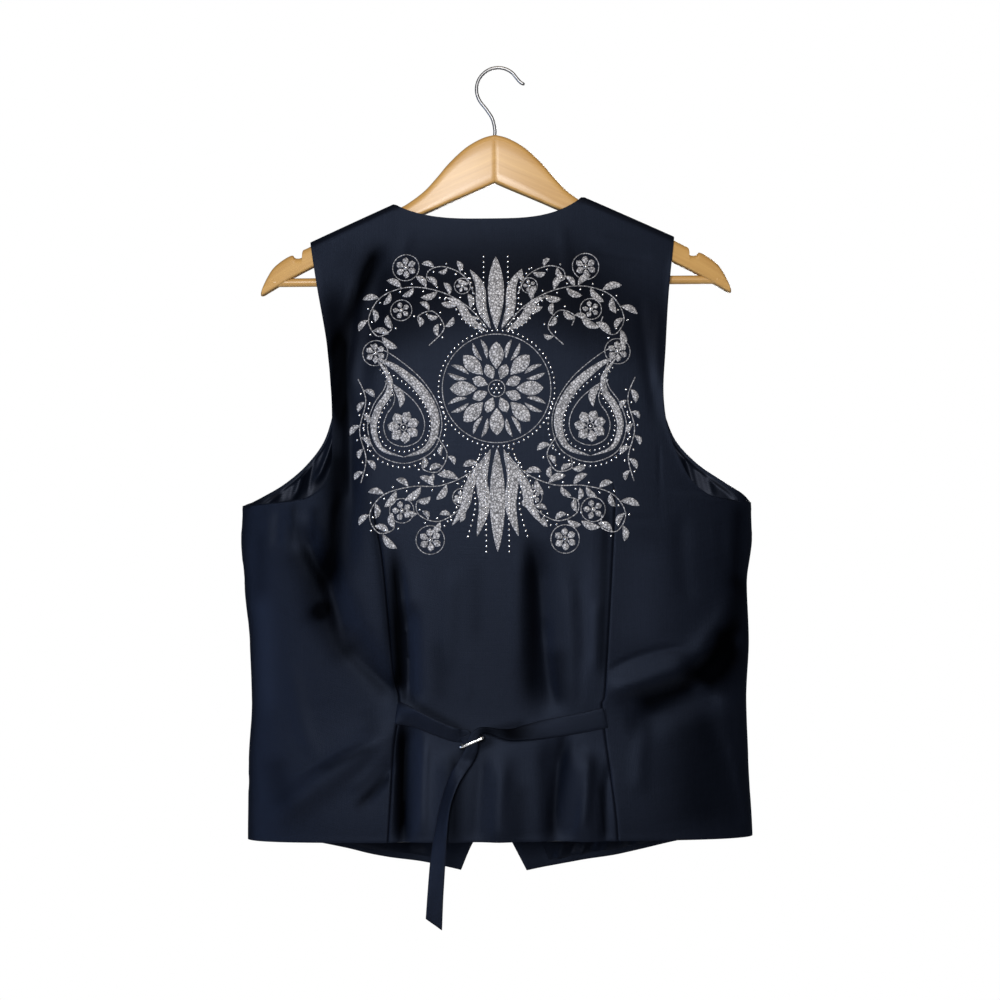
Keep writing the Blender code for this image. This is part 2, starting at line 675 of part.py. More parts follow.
def make_slide(context, depth):
    """Wire slide, seen on its edge: its outer bar shows, and the straps pass behind that bar."""
    angle = math.radians(SLIDE_ANGLE)
    seat = depth(SLIDE_X, SLIDE_Z)
    middle = (SLIDE_INNER_LIFT + SLIDE_OUTER_LIFT) / 2.0
    half_deep = (SLIDE_OUTER_LIFT - SLIDE_INNER_LIFT) / 2.0
    points = []
    for quarter in range(4):
        along = SLIDE_HALF - SLIDE_WIRE - SLIDE_CORNER
        deep = half_deep - SLIDE_CORNER
        centre_u = along if quarter in (0, 3) else -along
        centre_v = deep if quarter in (0, 1) else -deep
        for step in range(4):
            turn = math.radians(90.0 * quarter + 30.0 * step)
            u = centre_u + SLIDE_CORNER * math.cos(turn)
            v = centre_v + SLIDE_CORNER * math.sin(turn)
            points.append((SLIDE_X + u * math.cos(angle), seat - middle - v,
                           SLIDE_Z + u * math.sin(angle)))
    return tube(context, "slide", points, SLIDE_WIRE, context["steel"], cyclic=True)


def left_strap_route():
    """The left strap's rows, then its end, folded round the slide's inner bar."""
    angle = math.radians(SLIDE_ANGLE)
    bar_x = SLIDE_X - STRAP_END_OFFSET * math.cos(angle)
    bar_z = SLIDE_Z - STRAP_END_OFFSET * math.sin(angle)
    reach = SLIDE_WIRE + LAY_GAP + STRAP_WALL / 2.0
    turns = [(-7.0, -1.0), (-2.5, -1.0), (0.0, -1.0), (0.71 * reach, -0.71), (reach, 0.0),
             (0.71 * reach, 0.71), (0.0, 1.0), (-3.0, 1.0), (-7.0, 1.0)]
    rows = list(STRAP_LEFT)
    for down, level in turns:
        rows.append({"x": bar_x + down * math.sin(angle), "z": bar_z - down * math.cos(angle),
                     "lift": SLIDE_INNER_LIFT + reach * level, "width": STRAP_END_WIDTH, "turn": 0.0})
    return rows


def make_button(context, name, x, z):
    """Turned button: a dished face inside a raised rim."""
    profile = [(0.0, 0.75), (0.62, 0.75), (0.78, 1.0), (1.0, 0.7), (1.0, 0.25), (0.85, 0.0), (0.0, 0.0)]
    bm = bmesh.new()
    verts = [bm.verts.new((r * BUTTON_RADIUS * MM, 0.0, h * BUTTON_THICK * MM)) for r, h in profile]
    for a, b in zip(verts, verts[1:]):
        bm.edges.new((a, b))
    mesh = bpy.data.meshes.new(name)
    bm.to_mesh(mesh)
    bm.free()
    item = add_object(name, mesh, context["horn"], context["parts"], context["hang"])
    turn = item.modifiers.new("turned", "SCREW")
    turn.steps = BUTTON_STEPS
    turn.render_steps = BUTTON_STEPS
    turn.use_merge_vertices = True
    turn.merge_threshold = 0.00001
    face = front_depth(x, z, 0.0) + WALL / 2.0 + LAY_GAP
    item.rotation_euler = (-math.pi / 2.0, 0.0, 0.0)
    item.location = (x * MM, face * MM, z * MM)
    return item


def arm_ring(row, sign):
    """Section of a wooden arm: flat flanks, a round top and a softened lower edge."""
    height = row["top"] - row["low"]
    round_top = min(ARM_ROUND, 0.45 * height)
    soft = min(ARM_CORNER, 0.2 * height)
    thick = min(ARM_HALF_THICK, 0.9 + 0.75 * height)
    y = arm_depth(row["x"])
    ring = [(-thick, row["low"] + soft), (-thick, row["top"] - round_top)]
    for step in range(1, 6):
        turn = math.radians(30.0 * step)
        ring.append((-thick * math.cos(turn), row["top"] - round_top * (1.0 - math.sin(turn))))
    ring += [(thick, row["top"] - round_top), (thick, row["low"] + soft)]
    ring += [(thick - soft, row["low"]), (soft - thick, row["low"])]
    return [Vector((sign * row["x"], y + across, z)) * MM for across, z in ring]


def make_arm(context, side):
    sign = -1.0 if side == "left" else 1.0
    bm = bmesh.new()
    rings = [[bm.verts.new(point) for point in arm_ring(row, sign)] for row in ARM]
    for ring, following in zip(rings, rings[1:]):
        for index in range(len(ring)):
            after = (index + 1) % len(ring)
            bm.faces.new((ring[index], ring[after], following[after], following[index]))
    bm.faces.new(rings[0])
    bm.faces.new(rings[-1])
    bmesh.ops.recalc_face_normals(bm, faces=bm.faces)
    name = "hanger_arm_" + side
    mesh = bpy.data.meshes.new(name)
    bm.to_mesh(mesh)
    bm.free()
    item = add_object(name, mesh, context["wood"], context["parts"], context["hang"])
    bm = bmesh.new()
    length = 2.0 * (BAR_HALF + SEAM_GAP)
    bmesh.ops.create_cone(bm, cap_ends=True, segments=20, radius1=(BAR_RADIUS + SEAM_GAP) * MM,
                          radius2=(BAR_RADIUS + SEAM_GAP) * MM, depth=length * MM)
    hole = bpy.data.meshes.new("bar_hole_" + side)
    bm.to_mesh(hole)
    bm.free()
    cutter = add_object("bar_hole_" + side, hole, context["wood"], context["cutters"], context["hang"])
    cutter.rotation_euler = (0.0, math.pi / 2.0, 0.0)
    cutter.location = (0.0, BAR_Y * MM, BAR_Z * MM)
    cutter.hide_render = True
    cutter.display_type = "WIRE"
    cut = item.modifiers.new("bar hole", "BOOLEAN")
    cut.operation = "DIFFERENCE"
    cut.solver = "EXACT"
    cut.object = cutter
    return item


def make_bar(context):
    bm = bmesh.new()
    bmesh.ops.create_cone(bm, cap_ends=True, segments=20, radius1=BAR_RADIUS * MM,
                          radius2=BAR_RADIUS * MM, depth=2.0 * BAR_HALF * MM)
    mesh = bpy.data.meshes.new("hanger_bar")
    bm.to_mesh(mesh)
    bm.free()
    item = add_object("hanger_bar", mesh, context["wood"], context["parts"], context["hang"])
    item.rotation_euler = (0.0, math.pi / 2.0, 0.0)
    item.location = (0.0, BAR_Y * MM, BAR_Z * MM)
    return item


def make_hook(context):
    """Wire hook: a stem that leans into a round crook, with its tip turned out."""
    centre_z = WIRE_RADIUS - HOOK_RADIUS
    stem = [(0.0, STEM_END_Z), (0.0, -56.0), (-2.2, -46.5), (-7.4, -38.0), (-13.6, -30.0)]
    crook = []
    for step in range(9):
        turn = math.radians(mix(192.0, 30.0, step / 8))
        crook.append((CROWN_X + HOOK_RADIUS * math.cos(turn), centre_z + HOOK_RADIUS * math.sin(turn)))
    tip = [(24.6, -12.4), (28.4, -14.4)]
    route = curve_through(stem + crook + tip, 2)
    return tube(context, "hanger_hook", [(x, 0.0, z) for x, z in route], WIRE_RADIUS, context["steel"])


def main():
    parts, cutters = fresh_scene()
    hang = bpy.data.objects.new("hang_point", None)
    hang.location = (-CROWN_X * MM, 0.0, 0.0)
    parts.objects.link(hang)
    context = {
        "parts": parts,
        "cutters": cutters,
        "hang": hang,
        "cloth": material("navy cloth", (0.012, 0.015, 0.026), 0.6),
        "lining": material("dark lining", (0.004, 0.006, 0.014), 0.35),
        "horn": material("dark horn", (0.02, 0.018, 0.018), 0.35),
        "steel": material("polished steel", (0.62, 0.62, 0.64), 0.22, 1.0),
        "wood": material("varnished beech", (0.56, 0.36, 0.17), 0.4),
    }
    back = make_back(context)
    for side in ("left", "right"):
        front = make_front(context, side)
        make_lining(context, side, front)
        make_arm(context, side)
    bpy.context.view_layer.update()
    depth = outer_face(back)
    ribbon(context, "strap_left", left_strap_route(), depth)
    ribbon(context, "strap_right", STRAP_RIGHT, depth, TAIL_SLANT)
    make_slide(context, depth)
    for index in range(BUTTON_COUNT):
        z = FIRST_BUTTON_Z - FIRST_BUTTON_DROP - BUTTON_STEP * index
        make_button(context, f"button_{index + 1}", 0.0, z)
    make_bar(context)
    make_hook(context)


main()
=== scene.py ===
# %% [markdown]
# # A tailored vest on a wooden hanger
# The imported model is the frame: it holds every sub-part at its true place and size. This lesson
# dresses it. Cloth, lining, straps, embroidery, horn, wood and wire each get a cell with their
# shape and one with their finish, and the cloth's own folds are placed one by one.

import math
import random

import bmesh
import bpy
import numpy as np
from mathutils import Matrix, Vector


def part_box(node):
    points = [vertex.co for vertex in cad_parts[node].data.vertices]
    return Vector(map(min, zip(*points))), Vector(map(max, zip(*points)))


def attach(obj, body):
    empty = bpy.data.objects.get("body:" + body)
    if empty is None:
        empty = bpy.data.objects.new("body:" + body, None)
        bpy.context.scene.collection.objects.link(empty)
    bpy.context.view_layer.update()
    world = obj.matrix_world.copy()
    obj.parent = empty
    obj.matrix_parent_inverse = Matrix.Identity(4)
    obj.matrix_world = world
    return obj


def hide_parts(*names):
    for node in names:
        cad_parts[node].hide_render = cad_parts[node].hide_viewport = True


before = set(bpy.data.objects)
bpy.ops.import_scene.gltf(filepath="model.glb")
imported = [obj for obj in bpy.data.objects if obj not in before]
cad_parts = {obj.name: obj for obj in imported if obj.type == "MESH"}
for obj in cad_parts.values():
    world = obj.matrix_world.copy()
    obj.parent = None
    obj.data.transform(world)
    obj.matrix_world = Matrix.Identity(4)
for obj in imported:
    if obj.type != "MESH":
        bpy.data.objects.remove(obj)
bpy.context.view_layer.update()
print("frame nodes:", len(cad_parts))

# %% [markdown]
# ## Units and centre line
# Tailors think in millimetres, so every size below is in millimetres, measured from the hanger's
# own centre line and down from the hook's crown. The centre line is read from the two wooden arms,
# so the dressed vest can't drift from the frame.

# %% Units
MM = 0.001
ROOT = "root"
arm_ends = (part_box("hanger_arm_left")[0].x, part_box("hanger_arm_right")[1].x)
CENTRE_X = (arm_ends[0] + arm_ends[1]) / 2.0


def to_frame(points):
    """Millimetre points beside the centre line, as metre points of the frame."""
    return np.asarray(points, float) * MM + np.array([CENTRE_X, 0.0, 0.0])


def add_object(name, data):
    item = bpy.data.objects.new(name, data)
    bpy.context.scene.collection.objects.link(item)
    return item


def mix(low, high, share):
    return low + (high - low) * share


def smoothstep(value):
    value = np.clip(value, 0.0, 1.0)
    return value * value * (3.0 - 2.0 * value)


print("centre line at x =", round(CENTRE_X, 5))

# %% [markdown]
# ## Camera
# The camera looks level at the middle of the vest's back. Its lens is worked out from the real
# width that the picture takes in, so a size in the picture can be read off in millimetres. The
# vest hung slightly askew, so the camera is rolled by less than half a degree.

# %% Camera
VIEW_DISTANCE, VIEW_WIDTH = 1.5, 0.94
AIM_X, AIM_Z = 0.00235, -0.4047
LEVEL, ROLL = math.radians(90.0), math.radians(-0.42)
SENSOR = 36.0
camera_data = bpy.data.cameras.new("camera")
camera_data.sensor_width = SENSOR
camera_data.lens = SENSOR * VIEW_DISTANCE / VIEW_WIDTH
camera = add_object("camera", camera_data)
camera.matrix_world = (Matrix.Translation((CENTRE_X + AIM_X, -VIEW_DISTANCE, AIM_Z))
                       @ Matrix.Rotation(LEVEL, 4, "X") @ Matrix.Rotation(ROLL, 4, "Z"))
bpy.context.scene.camera = camera
print("lens:", round(camera_data.lens, 2), "mm")

# %% [markdown]
# ## Materials: a few helpers
# Each finish is a Principled shader whose colour and bump come from node patterns. The helpers
# keep the cells short: finish makes the shader, with one function that adds a node and one that
# feeds the shader's sockets, and stretched_noise makes what slubs, grain and brush marks all are.

# %% Material helpers


def finish(name, roughness, metallic=0.0, **constants):
    """A new material, a function that adds a node to it, and one that feeds its shader."""
    made = bpy.data.materials.new(name)
    made.use_nodes = True
    tree = made.node_tree
    shader = tree.nodes["Principled BSDF"]

    def give(node, values):
        for key, value in values.items():
            if hasattr(value, "is_linked"):
                tree.links.new(value, node.inputs[key])
            else:
                node.inputs[key].default_value = value

    def add(kind, inputs=None, **settings):
        node = tree.nodes.new("ShaderNode" + kind)
        for key, value in settings.items():
            setattr(node, key, value)
        give(node, inputs or {})
        return node

    def feed(**sockets):
        give(shader, {key.replace("_", " "): value for key, value in sockets.items()})

    feed(Roughness=roughness, Metallic=metallic, **constants)
    return made, add, feed


def stretched_noise(add, source, scale, detail=3.0):
    """Noise on a coordinate that is scaled by a different amount along each direction."""
    placed = add("Mapping", {"Vector": source, "Scale": scale})
    return add("TexNoise", {"Vector": placed.outputs[0], "Scale": 1.0, "Detail": detail,
                            "Roughness": 0.55}).outputs["Fac"]


def maths(add, operation, *values, clamp=False):
    node = add("Math", dict(enumerate(values)), operation=operation, use_clamp=clamp)
    return node.outputs[0]


def wave(add, distance, period):
    return maths(add, "SINE", maths(add, "MULTIPLY", distance, 2.0 * math.pi / period))


def blend_colors(add, share, dark, light):
    node = add("MixRGB", {"Fac": share, "Color1": (*dark, 1.0), "Color2": (*light, 1.0)})
    return node.outputs[0]


def bump(add, height, strength, distance, **base):
    return add("Bump", {"Height": height, "Strength": strength, "Distance": distance, **base}).outputs[0]


print("material helpers ready")

# %% [markdown]
# ## Studio
# Near-black satin shows its folds as soft reflections, so the main lamp stands almost behind the
# camera and a little above it: cloth that faces it lights up, and cloth that turns away goes dark.
# A warm ceiling lamp dulls the blue of the top, a cool one low on the left deepens it below, and
# one behind serves the fronts. The world is white to the eye but lights the cloth weakly, so that
# the dark stays dark. The floor is a pale disc well below the hem, because the vest hangs.

# %% Studio
bpy.context.scene.view_settings.view_transform = "Standard"
AMBIENT = 0.055
FLOOR_Z, FLOOR_RADIUS = -1.32, 1.1


def area_lamp(name, place, size, power, color, target=(0.0, 0.0, -0.45)):
    data = bpy.data.lights.new(name, "AREA")
    data.shape, data.size = "DISK", size
    data.energy, data.color = power, color
    lamp = add_object(name, data)
    lamp.location = place
    lamp.rotation_euler = (Vector(target) - Vector(place)).to_track_quat("-Z", "Y").to_euler()


area_lamp("window", (-0.25, -2.35, 0.10), 0.7, 48.0, (1.0, 0.985, 0.96))
area_lamp("ceiling", (0.1, -1.0, 1.5), 0.7, 8.0, (1.0, 0.80, 0.58))
area_lamp("bounce", (1.8, -1.2, 0.1), 1.2, 2.4, (0.95, 0.97, 1.0))
area_lamp("skylight", (-1.7, -0.9, -0.8), 0.9, 11.0, (0.55, 0.70, 1.0))
area_lamp("behind", (0.5, 2.3, 0.2), 1.2, 38.0, (1.0, 0.98, 0.96))

world = bpy.data.worlds.new("studio")
bpy.context.scene.world = world
world.use_nodes = True
sky, wires = world.node_tree.nodes, world.node_tree.links
sky.clear()
either = sky.new("ShaderNodeMixShader")
wires.new(sky.new("ShaderNodeLightPath").outputs["Is Camera Ray"], either.inputs[0])
for socket, strength, color in ((1, AMBIENT, (0.74, 0.87, 1.0, 1.0)), (2, 1.0, (1.0, 1.0, 1.0, 1.0))):
    light = sky.new("ShaderNodeBackground")
    light.inputs["Strength"].default_value = strength
    light.inputs["Color"].default_value = color
    wires.new(light.outputs[0], either.inputs[socket])
wires.new(either.outputs[0], sky.new("ShaderNodeOutputWorld").inputs["Surface"])

bm = bmesh.new()
bmesh.ops.create_circle(bm, cap_ends=True, segments=96, radius=FLOOR_RADIUS)
bmesh.ops.translate(bm, verts=bm.verts, vec=(CENTRE_X, 0.0, FLOOR_Z))
floor_mesh = bpy.data.meshes.new("floor")
bm.to_mesh(floor_mesh)
bm.free()
floor_mesh.materials.append(finish("pale floor", 0.7, Base_Color=(0.82, 0.82, 0.81, 1.0))[0])
add_object("floor", floor_mesh)
print("studio set, floor at", FLOOR_Z)

# %% [markdown]
# ## Suiting cloth
# The vest is cut from a fine plain-woven suiting, near-black with blue in it, pressed to a soft
# satin. Threads are about half a millimetre apart, which is too fine to model, so two sine waves
# that cross give the weave its bump. Real yarn is uneven: long thin slubs run both ways and shift
# the colour a little. A sheen layer lifts the cloth where it turns away, as worn wool does. Shade
# is painted in: each panel carries an attribute of painted shade, from 0 to nearly 1, that takes
# colour and gloss away in creases, troughs and shadows; below 0 it is painted light and adds them.

# %% Suiting cloth
THREAD = 0.00052


def woven(name, dark, light, roughness, sheen, tint, specular):
    made, add, feed = finish(name, roughness, Sheen_Roughness=0.42, Sheen_Tint=(*tint, 1.0),
                             Specular_Tint=(*tint, 1.0))
    cloth_uv = add("TexCoord").outputs["UV"]
    warp_slubs = stretched_noise(add, cloth_uv, (1100.0, 26.0, 1.0))
    weft_slubs = stretched_noise(add, cloth_uv, (22.0, 1300.0, 1.0))
    yarn = maths(add, "MULTIPLY", maths(add, "ADD", warp_slubs, weft_slubs), 0.5)
    shade = maths(add, "MULTIPLY_ADD", yarn, 1.9, -0.45, clamp=True)
    # painted shade: the attribute darkens colour, specular and sheen; below 0 it paints light
    painted_light_share = maths(add, "SUBTRACT", 1.0, add("Attribute", attribute_name="painted_shade").outputs["Fac"])
    wear_and_painted_shade = add("VectorMath", {0: blend_colors(add, shade, dark, light), "Scale": painted_light_share}, operation="SCALE")
    axes = add("SeparateXYZ", {0: cloth_uv}).outputs
    weave = maths(add, "MULTIPLY", wave(add, axes[0], THREAD), wave(add, axes[1], THREAD))
    slubs = bump(add, yarn, 0.35, 0.0006)
    feed(Base_Color=wear_and_painted_shade.outputs[0], Specular_IOR_Level=maths(add, "MULTIPLY", painted_light_share, specular),
         Sheen_Weight=maths(add, "MULTIPLY", painted_light_share, sheen),
         Normal=bump(add, weave, 0.22, 0.00008, Normal=slubs),
         Roughness=maths(add, "MULTIPLY_ADD", yarn, 0.3, roughness - 0.15))
    return made


suiting = woven("navy suiting", (0.0008, 0.0011, 0.0026), (0.0028, 0.0037, 0.0078),
                0.50, 0.03, (0.50, 0.64, 1.0), 0.21)
print("made", suiting.name)

# %% [markdown]
# ## Lining
# Vest lining is a slippery satin. It is darker than the cloth and has hard, narrow lights, so it
# is smoother and has a thin coat. Its twill lines run slantwise, about as fine as the weave.

# %% Lining
TWILL = 0.0007
lining_satin, add, feed = finish("dark lining satin", 0.40, Specular_IOR_Level=0.11,
                                 Specular_Tint=(0.6, 0.7, 1.0, 1.0), Coat_Weight=0.02, Coat_Roughness=0.3)
lining_uv = add("TexCoord").outputs["UV"]
axes = add("SeparateXYZ", {0: lining_uv}).outputs
twill = wave(add, maths(add, "ADD", axes[0], axes[1]), TWILL)
pulled = stretched_noise(add, lining_uv, (600.0, 20.0, 1.0))
feed(Base_Color=blend_colors(add, pulled, (0.0010, 0.0017, 0.0040), (0.0036, 0.0052, 0.0100)),
     Normal=bump(add, twill, 0.15, 0.00006))
print("made", lining_satin.name)

# %% [markdown]
# ## Cut of the vest: sizes and tables
# A vest is drafted from a few lines: shoulder, neck, armholes, side seams and hem. Each line here
# is a short table of points that a smooth curve joins. DEPTH says how far the back and the fronts
# stand from the side seam, from the chest down to the hem.

# %% Sizes and tables
WALL = 1.8
LINING_WALL = 1.0
SEAM_GAP = 0.3
SIDE_GAP = 0.6
HANGER_HALF = 224.0
ARM_FORWARD = 24.0
SHOULDER_X, SHOULDER_Z, SHOULDER_SLOPE = 89.3, -122.6, 0.423
NECK = {"left": -96.0, "right": 82.5}
TIP = {"left": -175.0, "right": 168.5}
NECK_DROP_Z, NECK_CURVE = -141.5, 3.2
WRAP_OUT, WRAP_DOWN = 7.9, 7.2
UNDERARM_Z, HEM_SIDE_Z, BACK_HEM_Z = -409.0, -722.0, -717.5
LAP = 12.0
FIRST_BUTTON_Z, BUTTON_STEP, BUTTON_COUNT = -376.0, 77.5, 5
NECK_SHARE, UNDERARM_SHARE = 0.235, 0.49
BACK_PULL, FRONT_PULL = 2.4, 1.7
SIGN = {"left": -1.0, "right": 1.0}

SIDE = {
    "z": [-150.0, -380.0, UNDERARM_Z, -442.0, -485.0, -537.0, -594.0, -650.0, HEM_SIDE_Z, -790.0],
    "left": [243.0, 241.5, 240.0, 241.5, 238.5, 234.0, 232.5, 235.7, 236.8, 237.0],
    "right": [240.0, 240.5, 238.6, 239.2, 234.0, 235.5, 232.7, 234.0, 237.2, 237.4],
}
DEPTH = {
    "z": [-150.0, -300.0, -410.0, -594.0, -722.0, -790.0],
    "back": [36.0, 39.0, 41.0, 39.0, 46.0, 48.0],
    "front": [34.0, 38.0, 42.0, 43.0, 42.0, 42.0],
    "seam": [8.0, 8.0, 8.0, 8.0, 6.0, 5.0],
}
BACK_ARMHOLE = {
    "z": [-206.0, -260.0, -300.0, -330.0, -350.0, -370.0, -387.0, -399.0, -405.0],
    "left": [168.0, 157.6, 153.4, 152.4, 152.4, 153.4, 159.6, 173.0, 191.5],
    "right": [163.0, 157.8, 154.3, 156.4, 161.5, 170.0, 179.5, 193.5, 210.0],
}
FRONT_ARMHOLE = {
    "z": [-206.0, -260.0, -300.0, -324.0, -349.0, -371.0, -388.0, -400.0],
    "left": [165.0, 156.0, 154.6, 158.9, 167.8, 184.6, 204.3, 223.8],
    "right": [160.0, 156.0, 154.6, 161.9, 172.1, 191.9, 215.4, 232.5],
}
FRONT_HEM = {"x": [191.0, 150.0, 113.0, 70.0], "z": [-729.0, -738.5, -748.0, -755.5]}
FRONT_POINT = {"left": (-38.0, -763.0), "right": (25.5, -763.5)}
CUTAWAY = {
    "left": [(LAP, -690.0), (4.0, -705.0), (-14.0, -720.0), (-27.0, -738.0)],
    "right": [(-LAP, -690.0), (-8.0, -705.0), (3.0, -721.0), (12.5, -738.0)],
}
VEE_BOW = 5.0
print("side seams drop", UNDERARM_Z - HEM_SIDE_Z, "mm from underarm to hem")

# %% [markdown]
# ## Folds and creases
# Cloth that hangs from two darts and a strap doesn't fall evenly. Each row below is one fold: a
# line from (x, z) to (x2, z2), how far it reaches to each side, how high it stands (a trough is
# negative) and how far its middle bows aside. The first tables hold the large folds that the
# frame's solids have too; the second tables add the creases, which are narrower and sharper. They
# were placed one by one, so no two have the same length, depth or spacing.

# %% Fold tables
FOLD_COLUMNS = ("x", "z", "x2", "z2", "width", "height", "bow")
FOLD_PAST, FOLD_RISE, FOLD_PEAK = 0.12, 0.3, 1.6
# How dark the fronts' troughs are painted: painted shade per millimetre of fold depth, and its most
PAINTED_SHADE_PER_MM, PAINTED_SHADE_MOST = 0.13, 0.6
BACK_FOLDS = [
    (-106, -176, -127, -301, 17, -2.6, 0), (-127, -301, -142, -471, 17, -4.2, 0),
    (-177, -433, -134, -533, 20, -4.6, 0), (-135, -531, -93, -589, 20, -3.4, 0),
    (-98, -613, -208, -697, 22, 4.0, 0), (-83, -505, -82, -590, 14, -5.0, 0),
    (-82, -610, -88, -722, 14, -5.5, 0), (-44, -640, -47, -722, 18, 3.0, 0),
    (0, -636, 2, -722, 20, 3.0, 0), (41, -455, 44, -600, 19, -4.0, 0),
    (50, -632, 52, -722, 18, -4.5, 0), (75, -640, 81, -722, 16, 3.0, 0),
    (102, -584, 181, -556, 20, 4.5, 0), (184, -554, 232, -502, 20, 4.0, 0),
    (125, -615, 209, -585, 24, -5.0, -6),
]
FRONT_FOLDS = [
    (-128, -230, -140, -420, 20, -3.0, 0), (-196, -440, -150, -600, 22, -3.5, 0),
    (-70, -520, -78, -755, 24, 3.5, 0), (-118, -600, -126, -745, 22, -3.0, 0),
    (120, -250, 134, -430, 20, -3.0, 0), (190, -450, 146, -590, 22, -3.0, 0),
    (80, -540, 84, -755, 24, 3.5, 0), (136, -610, 140, -742, 22, -3.0, 0),
]
BACK_CREASES = [
    (-107, -168, -144, -254, 10, -1.9, 4), (-131, -198, -146, -317, 9, -2.0, -3),
    (-162, -286, -130, -211, 9, 1.3, 3), (-136, -294, -134, -404, 9, -2.0, 2),
    (-146, -402, -151, -492, 9, -2.9, 3), (-185, -432, -144, -536, 11, -2.8, -5),
    (-146, -535, -93, -581, 9, -1.4, 3), (-169, -469, -155, -515, 8, 1.0, 0),
    (-202, -412, -205, -446, 6, -0.9, 1), (-190, -411, -188, -441, 5, 0.8, 0),
    (-214, -414, -219, -456, 6, 0.8, -1), (-175, -412, -173, -450, 6, -1.0, 1),
    (-126, -684, -98, -647, 6, -1.7, 2), (-136, -670, -102, -632, 7, 0.9, 2),
    (-180, -655, -112, -621, 5, -0.9, -3), (-192, -559, -171, -639, 12, 0.9, 4),
    (-87, -609, -89, -714, 6.5, -3.2, 1), (-91, -468, -84, -586, 6.5, -3.0, -2),
    (-68, -625, -71, -710, 7, 1.7, 1), (-28, -547, -28, -590, 3, 0.5, 0),
    (31, -441, 39, -533, 9, -1.6, -2), (41, -519, 52, -595, 10, -1.9, 3),
    (23, -452, 19, -560, 11, 1.0, 2), (63, -618, 48, -706, 8, -2.2, 2),
    (82, -640, 73, -710, 7, 1.7, -2), (100, -652, 97, -719, 6, -1.6, 0.6),
    (104, -561, 170, -543, 3.5, -1.3, -4), (190, -545, 231, -488, 8, -1.2, 3),
    (109, -588, 197, -571, 12, -2.6, 5), (174, -570, 235, -514, 14, -2.8, 6),
    (91, -500, 89, -560, 7, 0.9, 1), (64, -486, 67, -590, 9, 0.8, -1),
    (213, -622, 226, -684, 3, 0.9, -1), (206, -548, 213, -622, 4, 0.6, 1),
    (136, -607, 128, -673, 12, 1.2, 2), (192, -604, 225, -714, 14, -1.6, -4),
    (3, -652, -3, -716, 10, 1.2, 1), (-15, -640, -21, -716, 8, -1.1, 1),
    (94, -160, 150, -165, 5, 0.6, 1), (92, -171, 146, -178, 5, -0.6, 1),
    (-9, -150, -9, -166, 4, -0.4, 0), (-80, -152, -95, -212, 9, -0.7, 2),
    (62, -149, 75, -217, 9, 0.6, 2), (135, -221, 148, -331, 9, -1.0, 2),
    (153, -230, 149, -300, 7, 0.8, 1), (150, -356, 150, -423, 2.4, -0.4, 0),
    (108, -424, 150, -423, 2.4, -0.4, 0), (171, -420, 177, -500, 13, -0.9, 3),
    (208, -425, 217, -486, 7, -0.8, 2), (-40, -470, -47, -560, 12, 0.8, 3),
    (74, -470, 80, -560, 10, -0.8, -2),
]
# Painted shade on the back, in the same columns: height is how dark the cloth is painted in creases,
# troughs and the shadows of the straps, slide and tail; below 0 it is painted light
BACK_PAINTED_SHADE = [
    (-120, -205, 120, -205, 95, 0.42, 0), (196, -590, 222, -520, 30, 0.35, 6),
    (-109, -164, -139, -244, 14, 0.7, 3), (-143, -244, -145, -350, 16, 0.7, 0),
    (-146, -345, -154, -487, 23, 0.9, 0), (-185, -446, -165, -513, 26, 0.7, -4),
    (-168, -501, -139, -550, 24, 0.7, 0), (-141, -544, -98, -583, 22, 0.4, 0),
    (-96, -449, -92, -590, 10, 0.92, 0), (-89, -609, -90, -722, 13, 0.92, 0),
    (-117, -405, -101, -547, 7, 0.5, -2), (-132, -687, -101, -657, 8, 0.6, 0),
    (-165, -654, -117, -631, 6, 0.4, 0), (-210, -643, -198, -691, 20, 0.3, 0),
    (31, -446, 29, -594, 18, 0.72, 0), (54, -542, 56, -594, 16, 0.45, 0),
    (100, -403, 94, -574, 8, 0.6, 0), (127, -594, 182, -574, 22, 0.8, 4),
    (181, -574, 215, -533, 28, 0.92, 6), (214, -535, 227, -478, 20, 0.62, 2),
    (182, -603, 188, -709, 48, 0.5, 0), (225, -409, 220, -487, 11, 0.55, 0),
    (63, -627, 46, -719, 12, 0.62, 0), (93, -664, 96, -717, 5, 0.62, 0),
    (20, -664, 17, -719, 13, 0.3, 0), (-41, -637, -44, -716, 10, 0.7, 0),
    (-154, -203, -147, -331, 20, 0.6, 0), (-56, -533, -54, -588, 13, 0.25, 0),
    (-20, -460, -21, -533, 11, 0.18, 0), (-220, -432, -223, -496, 11, 0.25, 0),
    (-188, -405, -192, -446, 7, 0.35, 0), (-168, -409, -172, -441, 6, 0.3, 0),
    (139, -448, 131, -540, 36, -0.34, 0), (-75, -460, -71, -588, 15, -0.14, 0),
    (86, -455, 80, -585, 20, -0.28, 0), (-122, -596, -112, -622, 16, 0.22, 0),
    (-70, -625, -66, -715, 20, -0.25, 0), (60, -610, 100, -640, 16, -0.15, 0),
    (-218, -492, -214, -600, 15, -0.3, 0), (-37, -639, -5, -625, 8, 0.6, 0),
    (-83, -587, -30, -619, 6, 0.5, 1), (-12, -619, 24, -610, 7, 0.5, 0),
    (-150, -172, -104, -204, 30, 0.2, 0),
]
